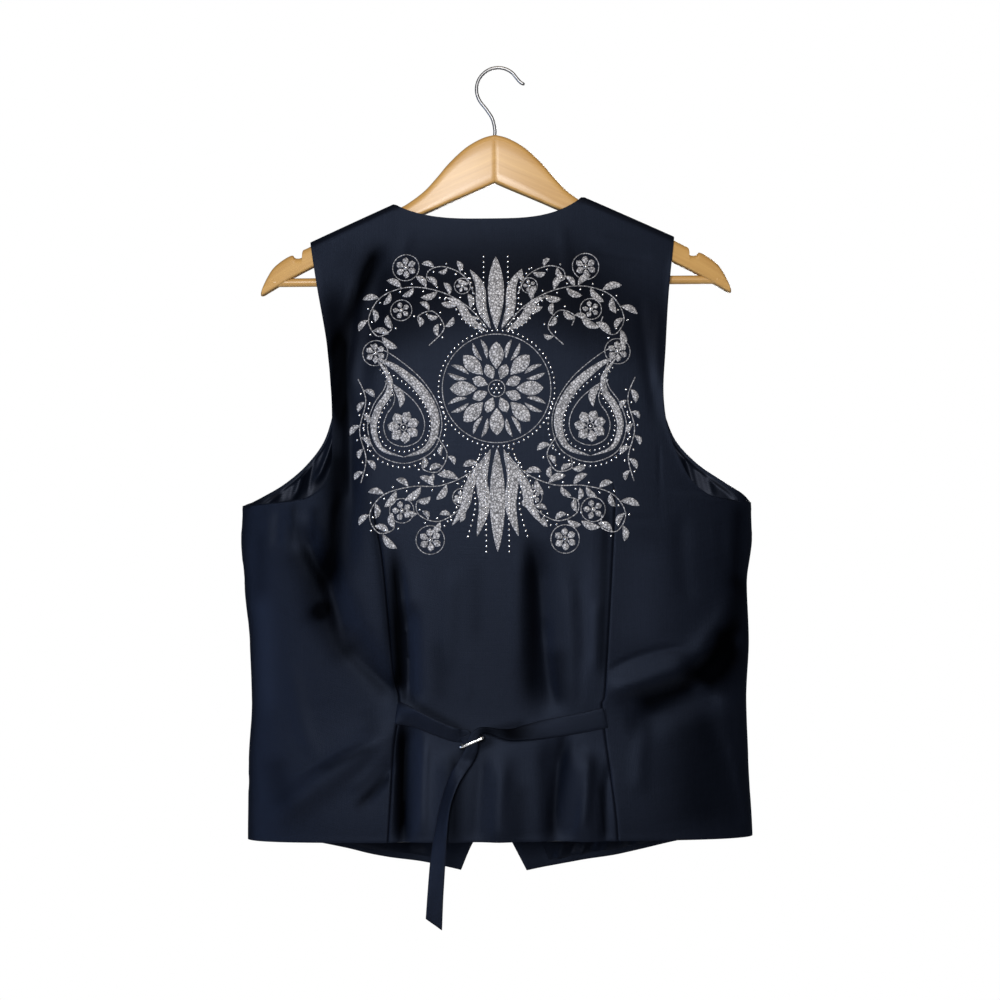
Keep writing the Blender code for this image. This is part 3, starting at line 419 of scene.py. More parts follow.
FRONT_CREASES = [
    (-112, -170, -146, -262, 10, -1.6, 4), (-150, -300, -141, -395, 9, -1.6, 2),
    (-204, -420, -170, -520, 10, -2.0, -4), (-170, -520, -116, -592, 9, -1.2, 3),
    (-188, -600, -208, -700, 10, 1.2, 3), (-60, -470, -20, -466, 6, -1.0, 2),
    (-64, -548, -20, -543, 6, -1.1, -2), (-58, -620, -20, -622, 5, 0.9, 2),
    (-96, -640, -104, -744, 7, -1.5, 2), (-52, -690, -58, -752, 6, 1.2, 1),
    (114, -172, 143, -268, 9, -1.5, -4), (146, -310, 138, -400, 9, -1.5, -2),
    (198, -424, 168, -512, 10, -1.9, 4), (168, -512, 120, -580, 9, -1.2, -3),
    (60, -468, 22, -465, 6, -0.9, -2), (64, -546, 22, -541, 6, -1.0, 2),
    (186, -590, 204, -700, 10, 1.1, -3), (102, -640, 110, -742, 7, -1.5, -2),
    (56, -676, 60, -752, 7, 1.2, 1), (34, -240, 70, -330, 9, 0.8, 3),
]
LINING_CREASES = [
    (-219, -404, -211, -380, 4, 2.6, 0), (-209, -404, -202, -374, 4, -1.6, 0),
    (-196, -402, -186, -364, 4, 3.0, 1), (-183, -398, -174, -356, 4, -1.8, -1),
    (-174, -384, -157, -340, 4.5, 3.0, 1), (-160, -372, -150, -330, 5, -1.6, 0),
    (-120, -250, -140, -380, 9, 1.8, 3), (-90, -300, -98, -520, 12, 1.6, 5),
    (-60, -560, -66, -745, 9, 2.0, 3), (-96, -620, -88, -742, 8, -1.6, 2),
    (190, -398, 181, -362, 4, 2.2, 0), (206, -402, 199, -372, 4, -1.4, 0),
    (172, -384, 160, -344, 4, 2.4, 0), (130, -260, 146, -390, 9, 1.8, -3),
    (92, -300, 104, -520, 12, 1.6, -5), (52, -762, 66, -722, 4, 2.2, 1),
    (64, -760, 76, -724, 3.5, -2.0, 0), (73, -758, 88, -722, 3.5, 2.4, 1),
    (84, -757, 94, -726, 3, -1.8, 0), (92, -755, 110, -730, 3.5, 1.9, 1),
    (112, -752, 132, -728, 4, -1.4, 0), (150, -740, 140, -700, 6, 1.2, 0),
]


def relief(folds, x, z):
    """Summed height of the folds at points (x, z), in millimetres; for a painted-shade table, how dark its
    painted shade is.
    """
    total = np.zeros_like(x)
    for row in folds:
        fold = dict(zip(FOLD_COLUMNS, row))
        run_x, run_z = fold["x2"] - fold["x"], fold["z2"] - fold["z"]
        length = math.hypot(run_x, run_z)
        here_x, here_z = x - fold["x"], z - fold["z"]
        along = (here_x * run_x + here_z * run_z) / length ** 2
        across = (here_x * run_z - here_z * run_x) / length
        across = across - fold["bow"] * 4.0 * along * (1.0 - along)
        ends = smoothstep((along + FOLD_PAST) / FOLD_RISE)
        ends = ends * smoothstep((1.0 + FOLD_PAST - along) / FOLD_RISE)
        total += fold["height"] * ends * np.exp(-(FOLD_PEAK * across / fold["width"]) ** 2)
    return total


# Painted shade in the fronts' troughs, from their folds and creases
def front_painted_shade(x, z):
    return np.clip(-PAINTED_SHADE_PER_MM * relief(FRONT_FOLDS + FRONT_CREASES, x, z), 0.0, PAINTED_SHADE_MOST)


print("folds:", len(BACK_FOLDS + FRONT_FOLDS))
print("creases:", len(BACK_CREASES + FRONT_CREASES + LINING_CREASES))

# %% [markdown]
# ## Form of the body
# The cloth lies over the hanger's arms in a quarter round, then eases into a hanging tube whose
# section is a flat lens: deepest at the middle and gone at the side seams. Both halves of the tube
# are plain functions of x and z, so a grid of any fineness can be laid on them.

# %% Form functions
OVER_ARM_BACK = (30.0, 140.0)
OVER_ARM_FRONT = (8.0, 85.0)
CALM_SIDE, CALM_TOP_BACK, CALM_TOP_FRONT = 26.0, (20.0, 40.0), (70.0, 50.0)
UNDER_REACH, UNDER_RUN = 34.0, 30.0
NECK_ROUND = 75.0
WAIST_Z = -594.0


def read_table(table, column, z):
    """A column of a table at heights z, eased between rows that run downwards."""
    heights = -np.array(table["z"])
    values = np.array(table[column])
    below = np.clip(np.searchsorted(heights, -z, side="right"), 1, len(heights) - 1)
    share = (-z - heights[below - 1]) / (heights[below] - heights[below - 1])
    return mix(values[below - 1], values[below], smoothstep(share))


def arm_depth(x):
    return ARM_FORWARD * (x / HANGER_HALF) ** 2


def shoulder_line(x):
    return SHOULDER_Z - SHOULDER_SLOPE * (np.abs(x) - SHOULDER_X) - WALL / 2.0


def fall_below(x, z):
    """Drop below the shoulder line, whose corner at the centre line is rounded for this."""
    rounded = np.where(np.abs(x) < NECK_ROUND, (x * x / NECK_ROUND + NECK_ROUND) / 2.0, np.abs(x))
    return shoulder_line(rounded) - z


def ease(value):
    """An S-curve from 0 to 1 with no change of bend at its ends."""
    value = np.clip(value, 0.0, 1.0)
    return value ** 3 * (value * (6.0 * value - 15.0) + 10.0)


def half_width(x, z):
    return np.where(x < 0.0, read_table(SIDE, "left", z), read_table(SIDE, "right", z))


def lens(x, z):
    share = np.minimum(1.0, np.abs(x) / half_width(x, z))
    return np.sqrt(1.0 - share * share)


def wrap(fall):
    share = np.clip(fall / WRAP_DOWN, 0.0, 1.0)
    return np.sqrt(1.0 - (1.0 - share) ** 2)


def calm(x, z, fall, side, top):
    """Fades folds out towards the side seams and the shoulder: 0 there, 1 on the hanging cloth."""
    return smoothstep((half_width(x, z) - np.abs(x)) / side) * smoothstep((fall - top[0]) / top[1])


def back_depth(x, z):
    fall = fall_below(x, z)
    over_arm = arm_depth(x) - SEAM_GAP - WRAP_OUT * wrap(fall)
    body = read_table(DEPTH, "seam", z) - SIDE_GAP - read_table(DEPTH, "back", z) * lens(x, z)
    folds = calm(x, z, fall, CALM_SIDE, CALM_TOP_BACK) * relief(BACK_FOLDS, x, z)
    start, run = OVER_ARM_BACK
    return mix(over_arm, body, ease((fall - start) / run)) - folds


def front_depth(x, z, under):
    fall = fall_below(x, z)
    over_arm = arm_depth(x) + SEAM_GAP + WRAP_OUT * wrap(fall)
    body = read_table(DEPTH, "seam", z) + SIDE_GAP + read_table(DEPTH, "front", z) * lens(x, z)
    folds = calm(x, z, fall, CALM_SIDE, CALM_TOP_FRONT) * relief(FRONT_FOLDS, x, z)
    sink = under * (WALL + 2.0 * SEAM_GAP) * smoothstep((LAP + UNDER_REACH - np.abs(x)) / UNDER_RUN)
    start, run = OVER_ARM_FRONT
    return mix(over_arm, body, ease((fall - start) / run)) + folds - sink


waist = np.array([0.0]), np.array([WAIST_Z])
print("body depth at the waist:", float(front_depth(*waist, 0.0)[0] - back_depth(*waist)[0]), "mm")

# %% [markdown]
# ## Outlines of the panels
# A panel is a patch between four edges. Each edge is a curve that is read at a share of its
# length, and the side edges pull only the cloth near them, as a cut armhole does. The armhole and
# the side seam make one edge with a corner at the underarm.

# %% Panel outlines


def curve_through(points, steps=16):
    """Smooth curve through the points, as a dense array."""
    points = np.array(points, float)
    padded = np.vstack([points[:1], points, points[-1:]])
    t = np.linspace(0.0, 1.0, steps, endpoint=False)[:, None]
    parts = [0.5 * (2 * b + (c - a) * t + (2 * a - 5 * b + 4 * c - d) * t ** 2
                    + (3 * b - a - 3 * c + d) * t ** 3)
             for a, b, c, d in zip(padded, padded[1:], padded[2:], padded[3:])]
    return np.vstack(parts + [points[-1:]])


def measured_edge(dense, low=0.0, high=1.0):
    """Edge as rows (share, x, z); its length counts height in full and breadth by half."""
    steps = np.abs(np.diff(dense[:, 1])) + 0.5 * np.abs(np.diff(dense[:, 0]))
    run = np.concatenate([[0.0], np.cumsum(steps)])
    return np.column_stack([mix(low, high, run / run[-1]), dense])


def read_edge(edge, share):
    return [np.interp(share, edge[:, 0], edge[:, axis]) for axis in (1, 2)]


def shoulder_point(x):
    return (x, float(shoulder_line(x)))


def outer_edge(side, armhole):
    """Armhole, then side seam, with the corner at the underarm's share."""
    seam = [(SIGN[side] * width, z) for width, z in zip(SIDE[side], SIDE["z"])
            if HEM_SIDE_Z <= z <= UNDERARM_Z]
    seam = curve_through(seam)
    upper = [shoulder_point(TIP[side])]
    upper += [(SIGN[side] * width, z) for width, z in zip(armhole[side], armhole["z"])]
    upper = curve_through(upper + [tuple(seam[0])])
    return np.vstack([measured_edge(upper, 0.0, UNDERARM_SHARE),
                      measured_edge(seam, UNDERARM_SHARE, 1.0)])


def back_top_edge():
    neck_left, neck_right = shoulder_point(NECK["left"]), shoulder_point(NECK["right"])
    rows = [(0.0, *shoulder_point(TIP["left"]))]
    for inner in np.linspace(0.0, 1.0, 65):
        drop = 1.0 - abs(2.0 * inner - 1.0) ** NECK_CURVE
        rows.append((mix(NECK_SHARE, 1.0 - NECK_SHARE, inner), mix(neck_left[0], neck_right[0], inner),
                     mix(mix(neck_left[1], neck_right[1], inner), NECK_DROP_Z, drop)))
    return np.array(rows + [(1.0, *shoulder_point(TIP["right"]))])


def back_bottom_edge():
    share = np.linspace(0.0, 1.0, 65)
    x = mix(-SIDE["left"][-2], SIDE["right"][-2], share)
    return np.column_stack([share, x, mix(BACK_HEM_Z, HEM_SIDE_Z, np.abs(2.0 * share - 1.0) ** 2)])


def front_edges(side):
    """Top, hem, outer edge and lapped edge of one front."""
    sign, tip, neck, point = SIGN[side], TIP[side], NECK[side], FRONT_POINT[side]
    top = np.array([(0.0, *shoulder_point(tip)), (1.0, *shoulder_point(neck))])
    hem = [(SIGN[side] * SIDE[side][-2], HEM_SIDE_Z)]
    hem += [(sign * x, z) for x, z in zip(FRONT_HEM["x"], FRONT_HEM["z"])]
    hem = curve_through(hem + [point])
    hem_share = (hem[:, 0] - hem[0, 0]) / (hem[-1, 0] - hem[0, 0])
    start, end = shoulder_point(neck), (-sign * LAP, FIRST_BUTTON_Z)
    vee = [(mix(start[0], end[0], k / 6) + sign * VEE_BOW * math.sin(math.pi * k / 6),
            mix(start[1], end[1], k / 6)) for k in range(7)]
    lapped = np.vstack([curve_through(vee), curve_through(CUTAWAY[side] + [point])])
    return top, np.column_stack([hem_share, hem]), outer_edge(side, FRONT_ARMHOLE), measured_edge(lapped)


def panel(edges, pull, share, drop):
    """x and z of a panel's points; share runs across it and drop runs down it."""
    top, bottom, first, last = edges
    point = []
    for axis in (0, 1):
        corners = [[read_edge(edge, end)[axis] for end in (0.0, 1.0)] for edge in (top, bottom)]
        base = mix(read_edge(top, share)[axis], read_edge(bottom, share)[axis], drop)
        bend_first = read_edge(first, drop)[axis] - mix(corners[0][0], corners[1][0], drop)
        bend_last = read_edge(last, drop)[axis] - mix(corners[0][1], corners[1][1], drop)
        point.append(base + (1.0 - share) ** pull * bend_first + share ** pull * bend_last)
    return point


BACK_EDGES = (back_top_edge(), back_bottom_edge(), outer_edge("left", BACK_ARMHOLE),
              outer_edge("right", BACK_ARMHOLE))
FRONT_EDGES = {side: front_edges(side) for side in ("left", "right")}
print("back hem width:", round(BACK_EDGES[1][-1, 1] - BACK_EDGES[1][0, 1], 1), "mm")

# %% [markdown]
# ## Laying a grid
# Every cloth piece is one grid from create_grid, with each point moved to its place on the form,
# and a Solidify modifier for the wall. The UV map is the length of cloth from the middle column
# and from the top edge, in metres, so the weave keeps its scale over every fold.

# %% Grid helpers
UPPER_ROWS, LOWER_ROWS, SHOULDER_ROWS, SHOULDER_DROP = 92, 100, 9, 0.016
EDGE_ROLL, EDGE_ROLL_REACH = 0.45, 3.4
EASED_EDGE, EASED_ANGLE = 0.3, 62.0


def arc_lengths(points, axis):
    steps = np.linalg.norm(np.diff(points, axis=axis), axis=2)
    start = np.zeros_like(np.take(steps, [0], axis=axis))
    return np.concatenate([start, np.cumsum(steps, axis=axis)], axis=axis)


def lay_grid(bm, points, uvs, painted_shades=None):
    """Grid on millimetre points, an array of (row, column, xyz), with its UVs and its painted shade."""
    rows, columns = points.shape[:2]
    uv_map = bm.loops.layers.uv.verify()
    # painted shade goes in a float layer of the grid's points
    if painted_shades is not None:
        depth = bm.verts.layers.float.new("painted_shade")
    bmesh.ops.create_grid(bm, x_segments=columns - 1, y_segments=rows - 1, size=1.0)
    placed = to_frame(points)
    for vert in bm.verts:
        column = round((vert.co.x + 1.0) / 2.0 * (columns - 1))
        row = round((1.0 - vert.co.y) / 2.0 * (rows - 1))
        for loop in vert.link_loops:
            loop[uv_map].uv = uvs[row, column] * MM
        vert.co = placed[row, column]
        if painted_shades is not None:
            vert[depth] = painted_shades[row, column]


def finished_mesh(bm, name, sharp=None):
    mesh = bpy.data.meshes.new(name)
    bm.to_mesh(mesh)
    bm.free()
    mesh.shade_smooth()
    if sharp is not None:
        mesh.set_sharp_from_angle(angle=math.radians(sharp))
    return mesh


def add_piece(name, mesh, material, replaced=()):
    """Puts a finished mesh in the scene as a piece that rides on the body."""
    item = add_object(name, mesh)
    mesh.materials.append(material)
    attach(item, ROOT)
    if replaced:
        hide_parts(*replaced)
    return item


def add_panel(name, points, material, thickness, replaced, painted_shades=None):
    """A piece of cloth: a grid with a wall, an eased edge and UVs from its middle column."""
    across = arc_lengths(points, 1)
    across -= across[:, [points.shape[1] // 2]]
    bm = bmesh.new()
    lay_grid(bm, points, np.stack([across, -arc_lengths(points, 0)], axis=2), painted_shades)
    item = add_piece(name, finished_mesh(bm, name), material, [replaced])
    wall = item.modifiers.new("wall", "SOLIDIFY")
    wall.thickness = thickness * MM
    wall.offset = 0.0
    rounded = item.modifiers.new("turned edge", "BEVEL")
    rounded.width = EASED_EDGE * thickness * MM
    rounded.segments = 2
    rounded.limit_method = "ANGLE"
    rounded.angle_limit = math.radians(EASED_ANGLE)
    print(name, "has", points.shape[0], "rows of", points.shape[1], "points")


def close_start(edge, close_count, end, count):
    """Shares from 0 to end: square-law steps up to edge, then even ones."""
    near = edge * (np.arange(close_count) / close_count) ** 2
    return np.concatenate([near, np.linspace(edge, end, count)])


def edge_roll(x, z, edge_x, edge_z):
    """Slight thickness where the cloth's edge is turned in and pressed."""
    return EDGE_ROLL * np.exp(-(np.hypot(x - edge_x, z - edge_z) / EDGE_ROLL_REACH) ** 2)


# Rows of a panel: close over the shoulder, with one row exactly at the underarm
PANEL_DROPS = np.concatenate([close_start(SHOULDER_DROP, SHOULDER_ROWS, UNDERARM_SHARE, UPPER_ROWS),
                              np.linspace(UNDERARM_SHARE, 1.0, LOWER_ROWS)[1:]])
print("rows on a panel:", len(PANEL_DROPS))

# %% [markdown]
# ## Back panel
# The back is cut in one piece and shaped by two long darts. A dart is sewn and pressed to one
# side, so it shows as a sharp line with a soft step. For a sharp line the grid needs a column that
# runs exactly along the stitches, so the columns are slid sideways in each row until one meets the
# dart, with close neighbours on both sides.

# %% Back panel
DARTS = {
    "left": [(-112.0, -330.0), (-115.8, -401.0), (-106.0, -461.0), (-97.3, -562.0), (-91.9, -590.0),
             (-97.5, -636.0), (-100.3, -682.0), (-103.0, -722.0)],
    "right": [(105.0, -330.0), (106.6, -387.0), (108.0, -415.0), (98.5, -576.0), (95.2, -599.0),
              (106.2, -689.0), (108.5, -722.0)],
}
DART_TOP = {"left": -398.0, "right": -384.0}
DART_STITCH_DEPTH, DART_STITCH_WIDTH = 0.8, 0.9
DART_STEP, DART_STEP_RUN, DART_STEP_FADE = 0.7, 1.6, 9.0
DART_PRESSED = {"left": 1.0, "right": -1.0}
DART_SHARE, DART_CLEAR = 0.27, 0.001
DART_NEAR = [0.0, 0.0009, 0.0019, 0.0032, 0.0052, 0.008]
CREASE_SIDE, CREASE_TOP_BACK, CREASE_TOP_FRONT = 14.0, (14.0, 24.0), (60.0, 50.0)
# Limits of the back's painted light (below 0) and painted shade
PAINTED_LIGHT_MOST, PAINTED_SHADE_DARKEST = -0.45, 0.93
BACK_COLUMNS = (0.06, 11, 0.5, 64)
ROLL_TOP, ROLL_TOP_RUN, ROLL_END, ROLL_END_RUN = 10.0, 20.0, 0.487, 0.02


def dart_x(side, z):
    line = curve_through(DARTS[side])[::-1]
    return np.interp(z, line[:, 1], line[:, 0])


def back_grid():
    plain = close_start(*BACK_COLUMNS)
    near = np.array([DART_SHARE + sign * step for step in DART_NEAR for sign in (-1.0, 1.0)])
    plain = plain[np.abs(plain - DART_SHARE) > DART_NEAR[-1] + DART_CLEAR]
    left = np.unique(np.concatenate([plain, near]))
    base = np.unique(np.concatenate([left, 1.0 - left]).round(7))
    dense = np.linspace(0.0, 1.0, 400)
    shares = []
    for drop in PANEL_DROPS:
        x, z = panel(BACK_EDGES, BACK_PULL, dense, np.full_like(dense, drop))
        met = [np.interp(0.0, x - dart_x(side, z), dense) for side in ("left", "right")]
        shares.append(np.interp(base, [0.0, DART_SHARE, 1.0 - DART_SHARE, 1.0], [0.0, *met, 1.0]))
    shares = np.array(shares)
    drop = np.repeat(PANEL_DROPS[:, None], shares.shape[1], axis=1)
    x, z = panel(BACK_EDGES, BACK_PULL, shares, drop)
    return x, z, shares, drop


def dart_relief(x, z):
    """Sunk stitch line with the allowance raised beside it; both are pressed to the wearer's left."""
    total = np.zeros_like(x)
    for side in ("left", "right"):
        away = SIGN[side] * DART_PRESSED[side] * (x - dart_x(side, z))
        sewn = smoothstep((DART_TOP[side] - z) / 30.0)
        total -= sewn * DART_STITCH_DEPTH * np.exp(-(away / DART_STITCH_WIDTH) ** 2)
        fade = np.exp(-np.maximum(away, 0.0) / DART_STEP_FADE)
        total += sewn * DART_STEP * smoothstep(away / DART_STEP_RUN) * fade
    return total


def creased_back(x, z):
    """Depth of the middle of the back's wall, with its creases and darts."""
    flat = calm(x, z, shoulder_line(x) - z, CREASE_SIDE, CREASE_TOP_BACK)
    return back_depth(x, z) - flat * (relief(BACK_CREASES, x, z) + dart_relief(x, z))


x, z, shares, drops = back_grid()
raised = edge_roll(x, z, *read_edge(BACK_EDGES[1], shares))
for edge in BACK_EDGES[2:]:
    raised += edge_roll(x, z, *read_edge(edge, drops)) * smoothstep((ROLL_END - drops) / ROLL_END_RUN)
raised *= smoothstep((shoulder_line(x) - z - ROLL_TOP) / ROLL_TOP_RUN)
back_points = np.stack([x, creased_back(x, z) - raised, z], axis=2)
# Painted shade and painted light of the back, from its table
painted_shades = np.clip(relief(BACK_PAINTED_SHADE, x, z), PAINTED_LIGHT_MOST, PAINTED_SHADE_DARKEST)
add_panel("back_cloth", back_points, suiting, WALL, "back", painted_shades)

# %% [markdown]
# ## Fronts
# The fronts hang on the far side of the body and button at the centre. Their grids follow the
# same rule as the back's. The right front lies under the left by one wall and a gap. Where the
# turned edge of the cutaway hem shows, it is a little thicker.

# %% Fronts
UNDER = {"left": 0.0, "right": 1.0}
FRONT_COLUMNS = (0.12, 11, 1.0, 78)
LAP_CALM, LAP_CALM_RUN, LAP_ROLL, LAP_ROLL_RUN = 2.0, 16.0, 8.0, 10.0


def front_grid(side):
    share, drop = np.meshgrid(close_start(*FRONT_COLUMNS), PANEL_DROPS)
    return *panel(FRONT_EDGES[side], FRONT_PULL, share, drop), share, drop


for side, under in UNDER.items():
    x, z, share, drop = front_grid(side)
    past_lap = np.abs(x) - LAP
    flat = calm(x, z, shoulder_line(x) - z, CREASE_SIDE, CREASE_TOP_FRONT)
    flat = flat * smoothstep((past_lap - LAP_CALM) / LAP_CALM_RUN)
    rolled = edge_roll(x, z, *read_edge(FRONT_EDGES[side][1], share))
    rolled = rolled * smoothstep((past_lap - LAP_ROLL) / LAP_ROLL_RUN)
    raised = flat * relief(FRONT_CREASES, x, z) + rolled
    points = np.stack([x, front_depth(x, z, under) + raised, z], axis=2)
    add_panel("front_cloth_" + side, points, suiting, WALL, "front_" + side, front_painted_shade(x, z))

# %% [markdown]
# ## Linings
# Each front is lined to just short of its edges. The lining is the front's own grid, moved inwards
# along its normals, with wrinkles of its own: satin is loose inside, so it falls in small slanting
# folds that show in the armholes and under the hem.

# %% Linings
LINING_GAP, LINING_EASE, LINING_PINCH = 0.6, 1.9, 0.25
LINING_SHARES = {"armhole": 0.0252, "side": 0.04, "lapped": 0.887}
LINING_DROPS = (0.13, 0.99)
LINING_CORNER, LINING_CORNER_RUN = 0.46, 0.06
LINING_HELD = {"outer": 0.03, "lapped": 0.05}


def inner_normals(points):
    normal = np.cross(np.gradient(points, axis=0), np.gradient(points, axis=1))
    normal /= np.linalg.norm(normal, axis=2, keepdims=True)
    return normal * -np.sign(normal[..., 1:2])


for side, under in UNDER.items():
    x, z, share, drop = front_grid(side)
    lined_rows = (drop[:, 0] >= LINING_DROPS[0]) & (drop[:, 0] <= LINING_DROPS[1])
    drop = drop[lined_rows]
    corner = smoothstep((drop - LINING_CORNER) / LINING_CORNER_RUN)
    low, high = mix(LINING_SHARES["armhole"], LINING_SHARES["side"], corner), LINING_SHARES["lapped"]
    share = mix(low, high, np.linspace(0.0, 1.0, share.shape[1])[None, :])
    x, z = panel(FRONT_EDGES[side], FRONT_PULL, share, drop)
    shell = np.stack([x, front_depth(x, z, under), z], axis=2)
    free = smoothstep((share - low) / LINING_HELD["outer"])
    free = free * smoothstep((high - share) / LINING_HELD["lapped"])
    creased = np.maximum(free, LINING_PINCH) * (LINING_EASE + relief(LINING_CREASES, x, z))
    lift = WALL / 2.0 + LINING_GAP + LINING_WALL / 2.0 + np.maximum(0.0, creased)
    points = shell + inner_normals(shell) * lift[..., None]
    add_panel("lining_satin_" + side, points, lining_satin, LINING_WALL, "lining_" + side)

# %% [markdown]
# ## A grid rolled into a tube
# Straps, wire, wooden arms and stitches are all rings of points that follow a line. A grid is laid
# with one ring in each row, its two long edges are merged, and its ends are closed. At a pole the
# ring shrinks to a point, and merging closes that end by itself.

# %% Tube helpers
MERGE = 0.000002


def add_mesh(bm, part):
    """Moves the geometry of a small bmesh into a large one."""
    carrier = bpy.data.meshes.new("part")
    part.to_mesh(carrier)
    part.free()
    bm.from_mesh(carrier)
    bpy.data.meshes.remove(carrier)


def lay_tube(bm, rings, closed=False):
    """Adds a closed tube through rings of points, an array of (ring, point, xyz)."""
    rings = np.concatenate([rings, rings[:, :1]], axis=1)
    if closed:
        rings = np.concatenate([rings, rings[:1]], axis=0)
    uvs = np.stack([arc_lengths(rings, 1), arc_lengths(rings, 0)], axis=2)
    part = bmesh.new()
    lay_grid(part, rings, uvs)
    bmesh.ops.remove_doubles(part, verts=part.verts, dist=MERGE)
    open_edges = [edge for edge in part.edges if edge.is_boundary]
    if open_edges:
        bmesh.ops.holes_fill(part, edges=open_edges, sides=0)
    bmesh.ops.recalc_face_normals(part, faces=part.faces)
    add_mesh(bm, part)


def directions(line, closed=False):
    ahead = np.roll(line, -1, axis=0) - np.roll(line, 1, axis=0) if closed else np.gradient(line, axis=0)
    return ahead / np.linalg.norm(ahead, axis=1, keepdims=True)


def wire_rings(line, radius, binormal, sides=14, closed=False):
    """Round rings along a line that stays square to binormal."""
    binormal = np.broadcast_to(np.asarray(binormal, float), line.shape)
    side = np.cross(binormal, directions(line, closed))
    side /= np.linalg.norm(side, axis=1, keepdims=True)
    turn = np.linspace(0.0, 2.0 * math.pi, sides, endpoint=False)[None, :, None]
    radius = np.broadcast_to(np.asarray(radius, float).reshape(-1, 1, 1), (len(line), 1, 1))
    return line[:, None] + radius * (np.cos(turn) * side[:, None] + np.sin(turn) * binormal[:, None])


def add_tube(name, rings, material, replaced=(), sharp=None, closed=False):
    bm = bmesh.new()
    lay_tube(bm, rings, closed)
    return add_piece(name, finished_mesh(bm, name, sharp), material, replaced)


print("tube helpers ready")

# %% [markdown]
# ## Cinch straps
# Two straps of doubled cloth come out of the darts and meet at a slide. Their routes are tables:
# place, lift off the back, width, and the turn about their own length, because a pulled strap
# twists. The left strap folds round the slide's inner bar. The right one comes over the slide,
# passes behind its outer bar and hangs below the hem.

# %% Straps
STRAP_WALL = 1.4
STRAP_POINTS, STRAP_EDGE_LOSS, STRAP_EDGE_POWER, SLANT_ROWS = 9, 0.75, 8, 8
LAY_GAP = 0.4
SLIDE_X, SLIDE_Z, SLIDE_ANGLE = -25.0, -625.4, math.radians(22.5)
SLIDE_HALF, SLIDE_WIRE = 12.9, 1.5
SLIDE_INNER_LIFT, SLIDE_OUTER_LIFT = 5.4, 12.9
SLIDE_REACH = 28.0
STRAP_END_OFFSET, STRAP_END_WIDTH = 3.2, 10.4
TAIL_SLANT = 9.0
STRAP_LEFT = [
    (-95.0, -599.9, -0.6, 20.5, 0), (-92.8, -600.3, 1.2, 20.5, 0), (-85.0, -602.3, 3.4, 19.0, 8),
    (-74.0, -606.4, 5.0, 16.5, 18), (-59.0, -612.8, 5.8, 14.5, 20), (-46.0, -617.8, 5.0, 13.5, 16),
    (-37.0, -620.2, 3.6, 12.5, 8),
]
STRAP_RIGHT = [
    (97.6, -606.0, -0.8, 19.0, 0), (95.8, -606.4, 0.7, 19.0, 0), (74.0, -610.6, 1.4, 18.0, 0),
    (47.0, -614.6, 2.0, 17.0, 4), (27.0, -617.4, 4.6, 14.5, 22), (12.0, -619.2, 7.8, 11.5, 34),
    (2.0, -618.2, 9.4, 8.6, 14), (-6.0, -615.8, 10.0, 6.4, 0), (-12.0, -614.6, 10.0, 5.8, 0),
    (-17.6, -615.2, 10.0, 6.2, 0), (-22.0, -619.4, 10.0, 8.4, 0), (-24.2, -626.0, 10.0, 10.4, 0),
    (-25.6, -633.5, 9.8, 11.6, 0),
    (-29.6, -641.5, 9.4, 12.0, 0), (-36.0, -650.5, 8.4, 11.8, 12), (-43.0, -663.0, 7.2, 12.4, 36),
    (-49.5, -682.0, 6.2, 13.5, 44), (-53.5, -706.0, 5.2, 14.0, 34), (-56.8, -735.0, 4.2, 14.6, 14),
    (-59.0, -762.0, 4.2, 14.8, 4), (-60.8, -787.0, 4.2, 15.0, 0),
]
# Painted shade and painted light on the straps: where, how far they reach, and how dark (below 0: painted
# light)
STRAP_PAINTED_SHADE = [(8.0, -618.0, 17.0, 0.75), (-13.0, -614.0, 9.0, 0.6), (-22.0, -640.0, 8.0, 0.3),
                 (-57.0, -745.0, 44.0, -0.28), (-60.0, -610.0, 22.0, -0.15)]


def back_face(x, z):
    """Depth of the back's outer face, without its fine creases; below the hem it stays as there."""
    return back_depth(x, np.maximum(z, BACK_HEM_Z + 3.0)) - WALL / 2.0


def seat_depth(x, z):
    far = np.hypot(x - SLIDE_X, z - SLIDE_Z) / SLIDE_REACH
    level = back_face(np.array([SLIDE_X]), np.array([SLIDE_Z]))
    return mix(level, back_face(x, z), smoothstep(2.0 * far - 1.0))


def left_strap_rows():
    """The left strap's rows, then its end, folded round the slide's inner bar."""
    bar_x = SLIDE_X - STRAP_END_OFFSET * math.cos(SLIDE_ANGLE)
    bar_z = SLIDE_Z - STRAP_END_OFFSET * math.sin(SLIDE_ANGLE)
    reach = SLIDE_WIRE + LAY_GAP + STRAP_WALL / 2.0
    turns = [(-7.0, -1.0), (-2.5, -1.0), (0.0, -1.0), (0.71 * reach, -0.71), (reach, 0.0),
             (0.71 * reach, 0.71), (0.0, 1.0), (-3.0, 1.0), (-7.0, 1.0)]
    end = [(bar_x + down * math.sin(SLIDE_ANGLE), bar_z - down * math.cos(SLIDE_ANGLE),
            SLIDE_INNER_LIFT + reach * level, STRAP_END_WIDTH, 0) for down, level in turns]
    return STRAP_LEFT + end


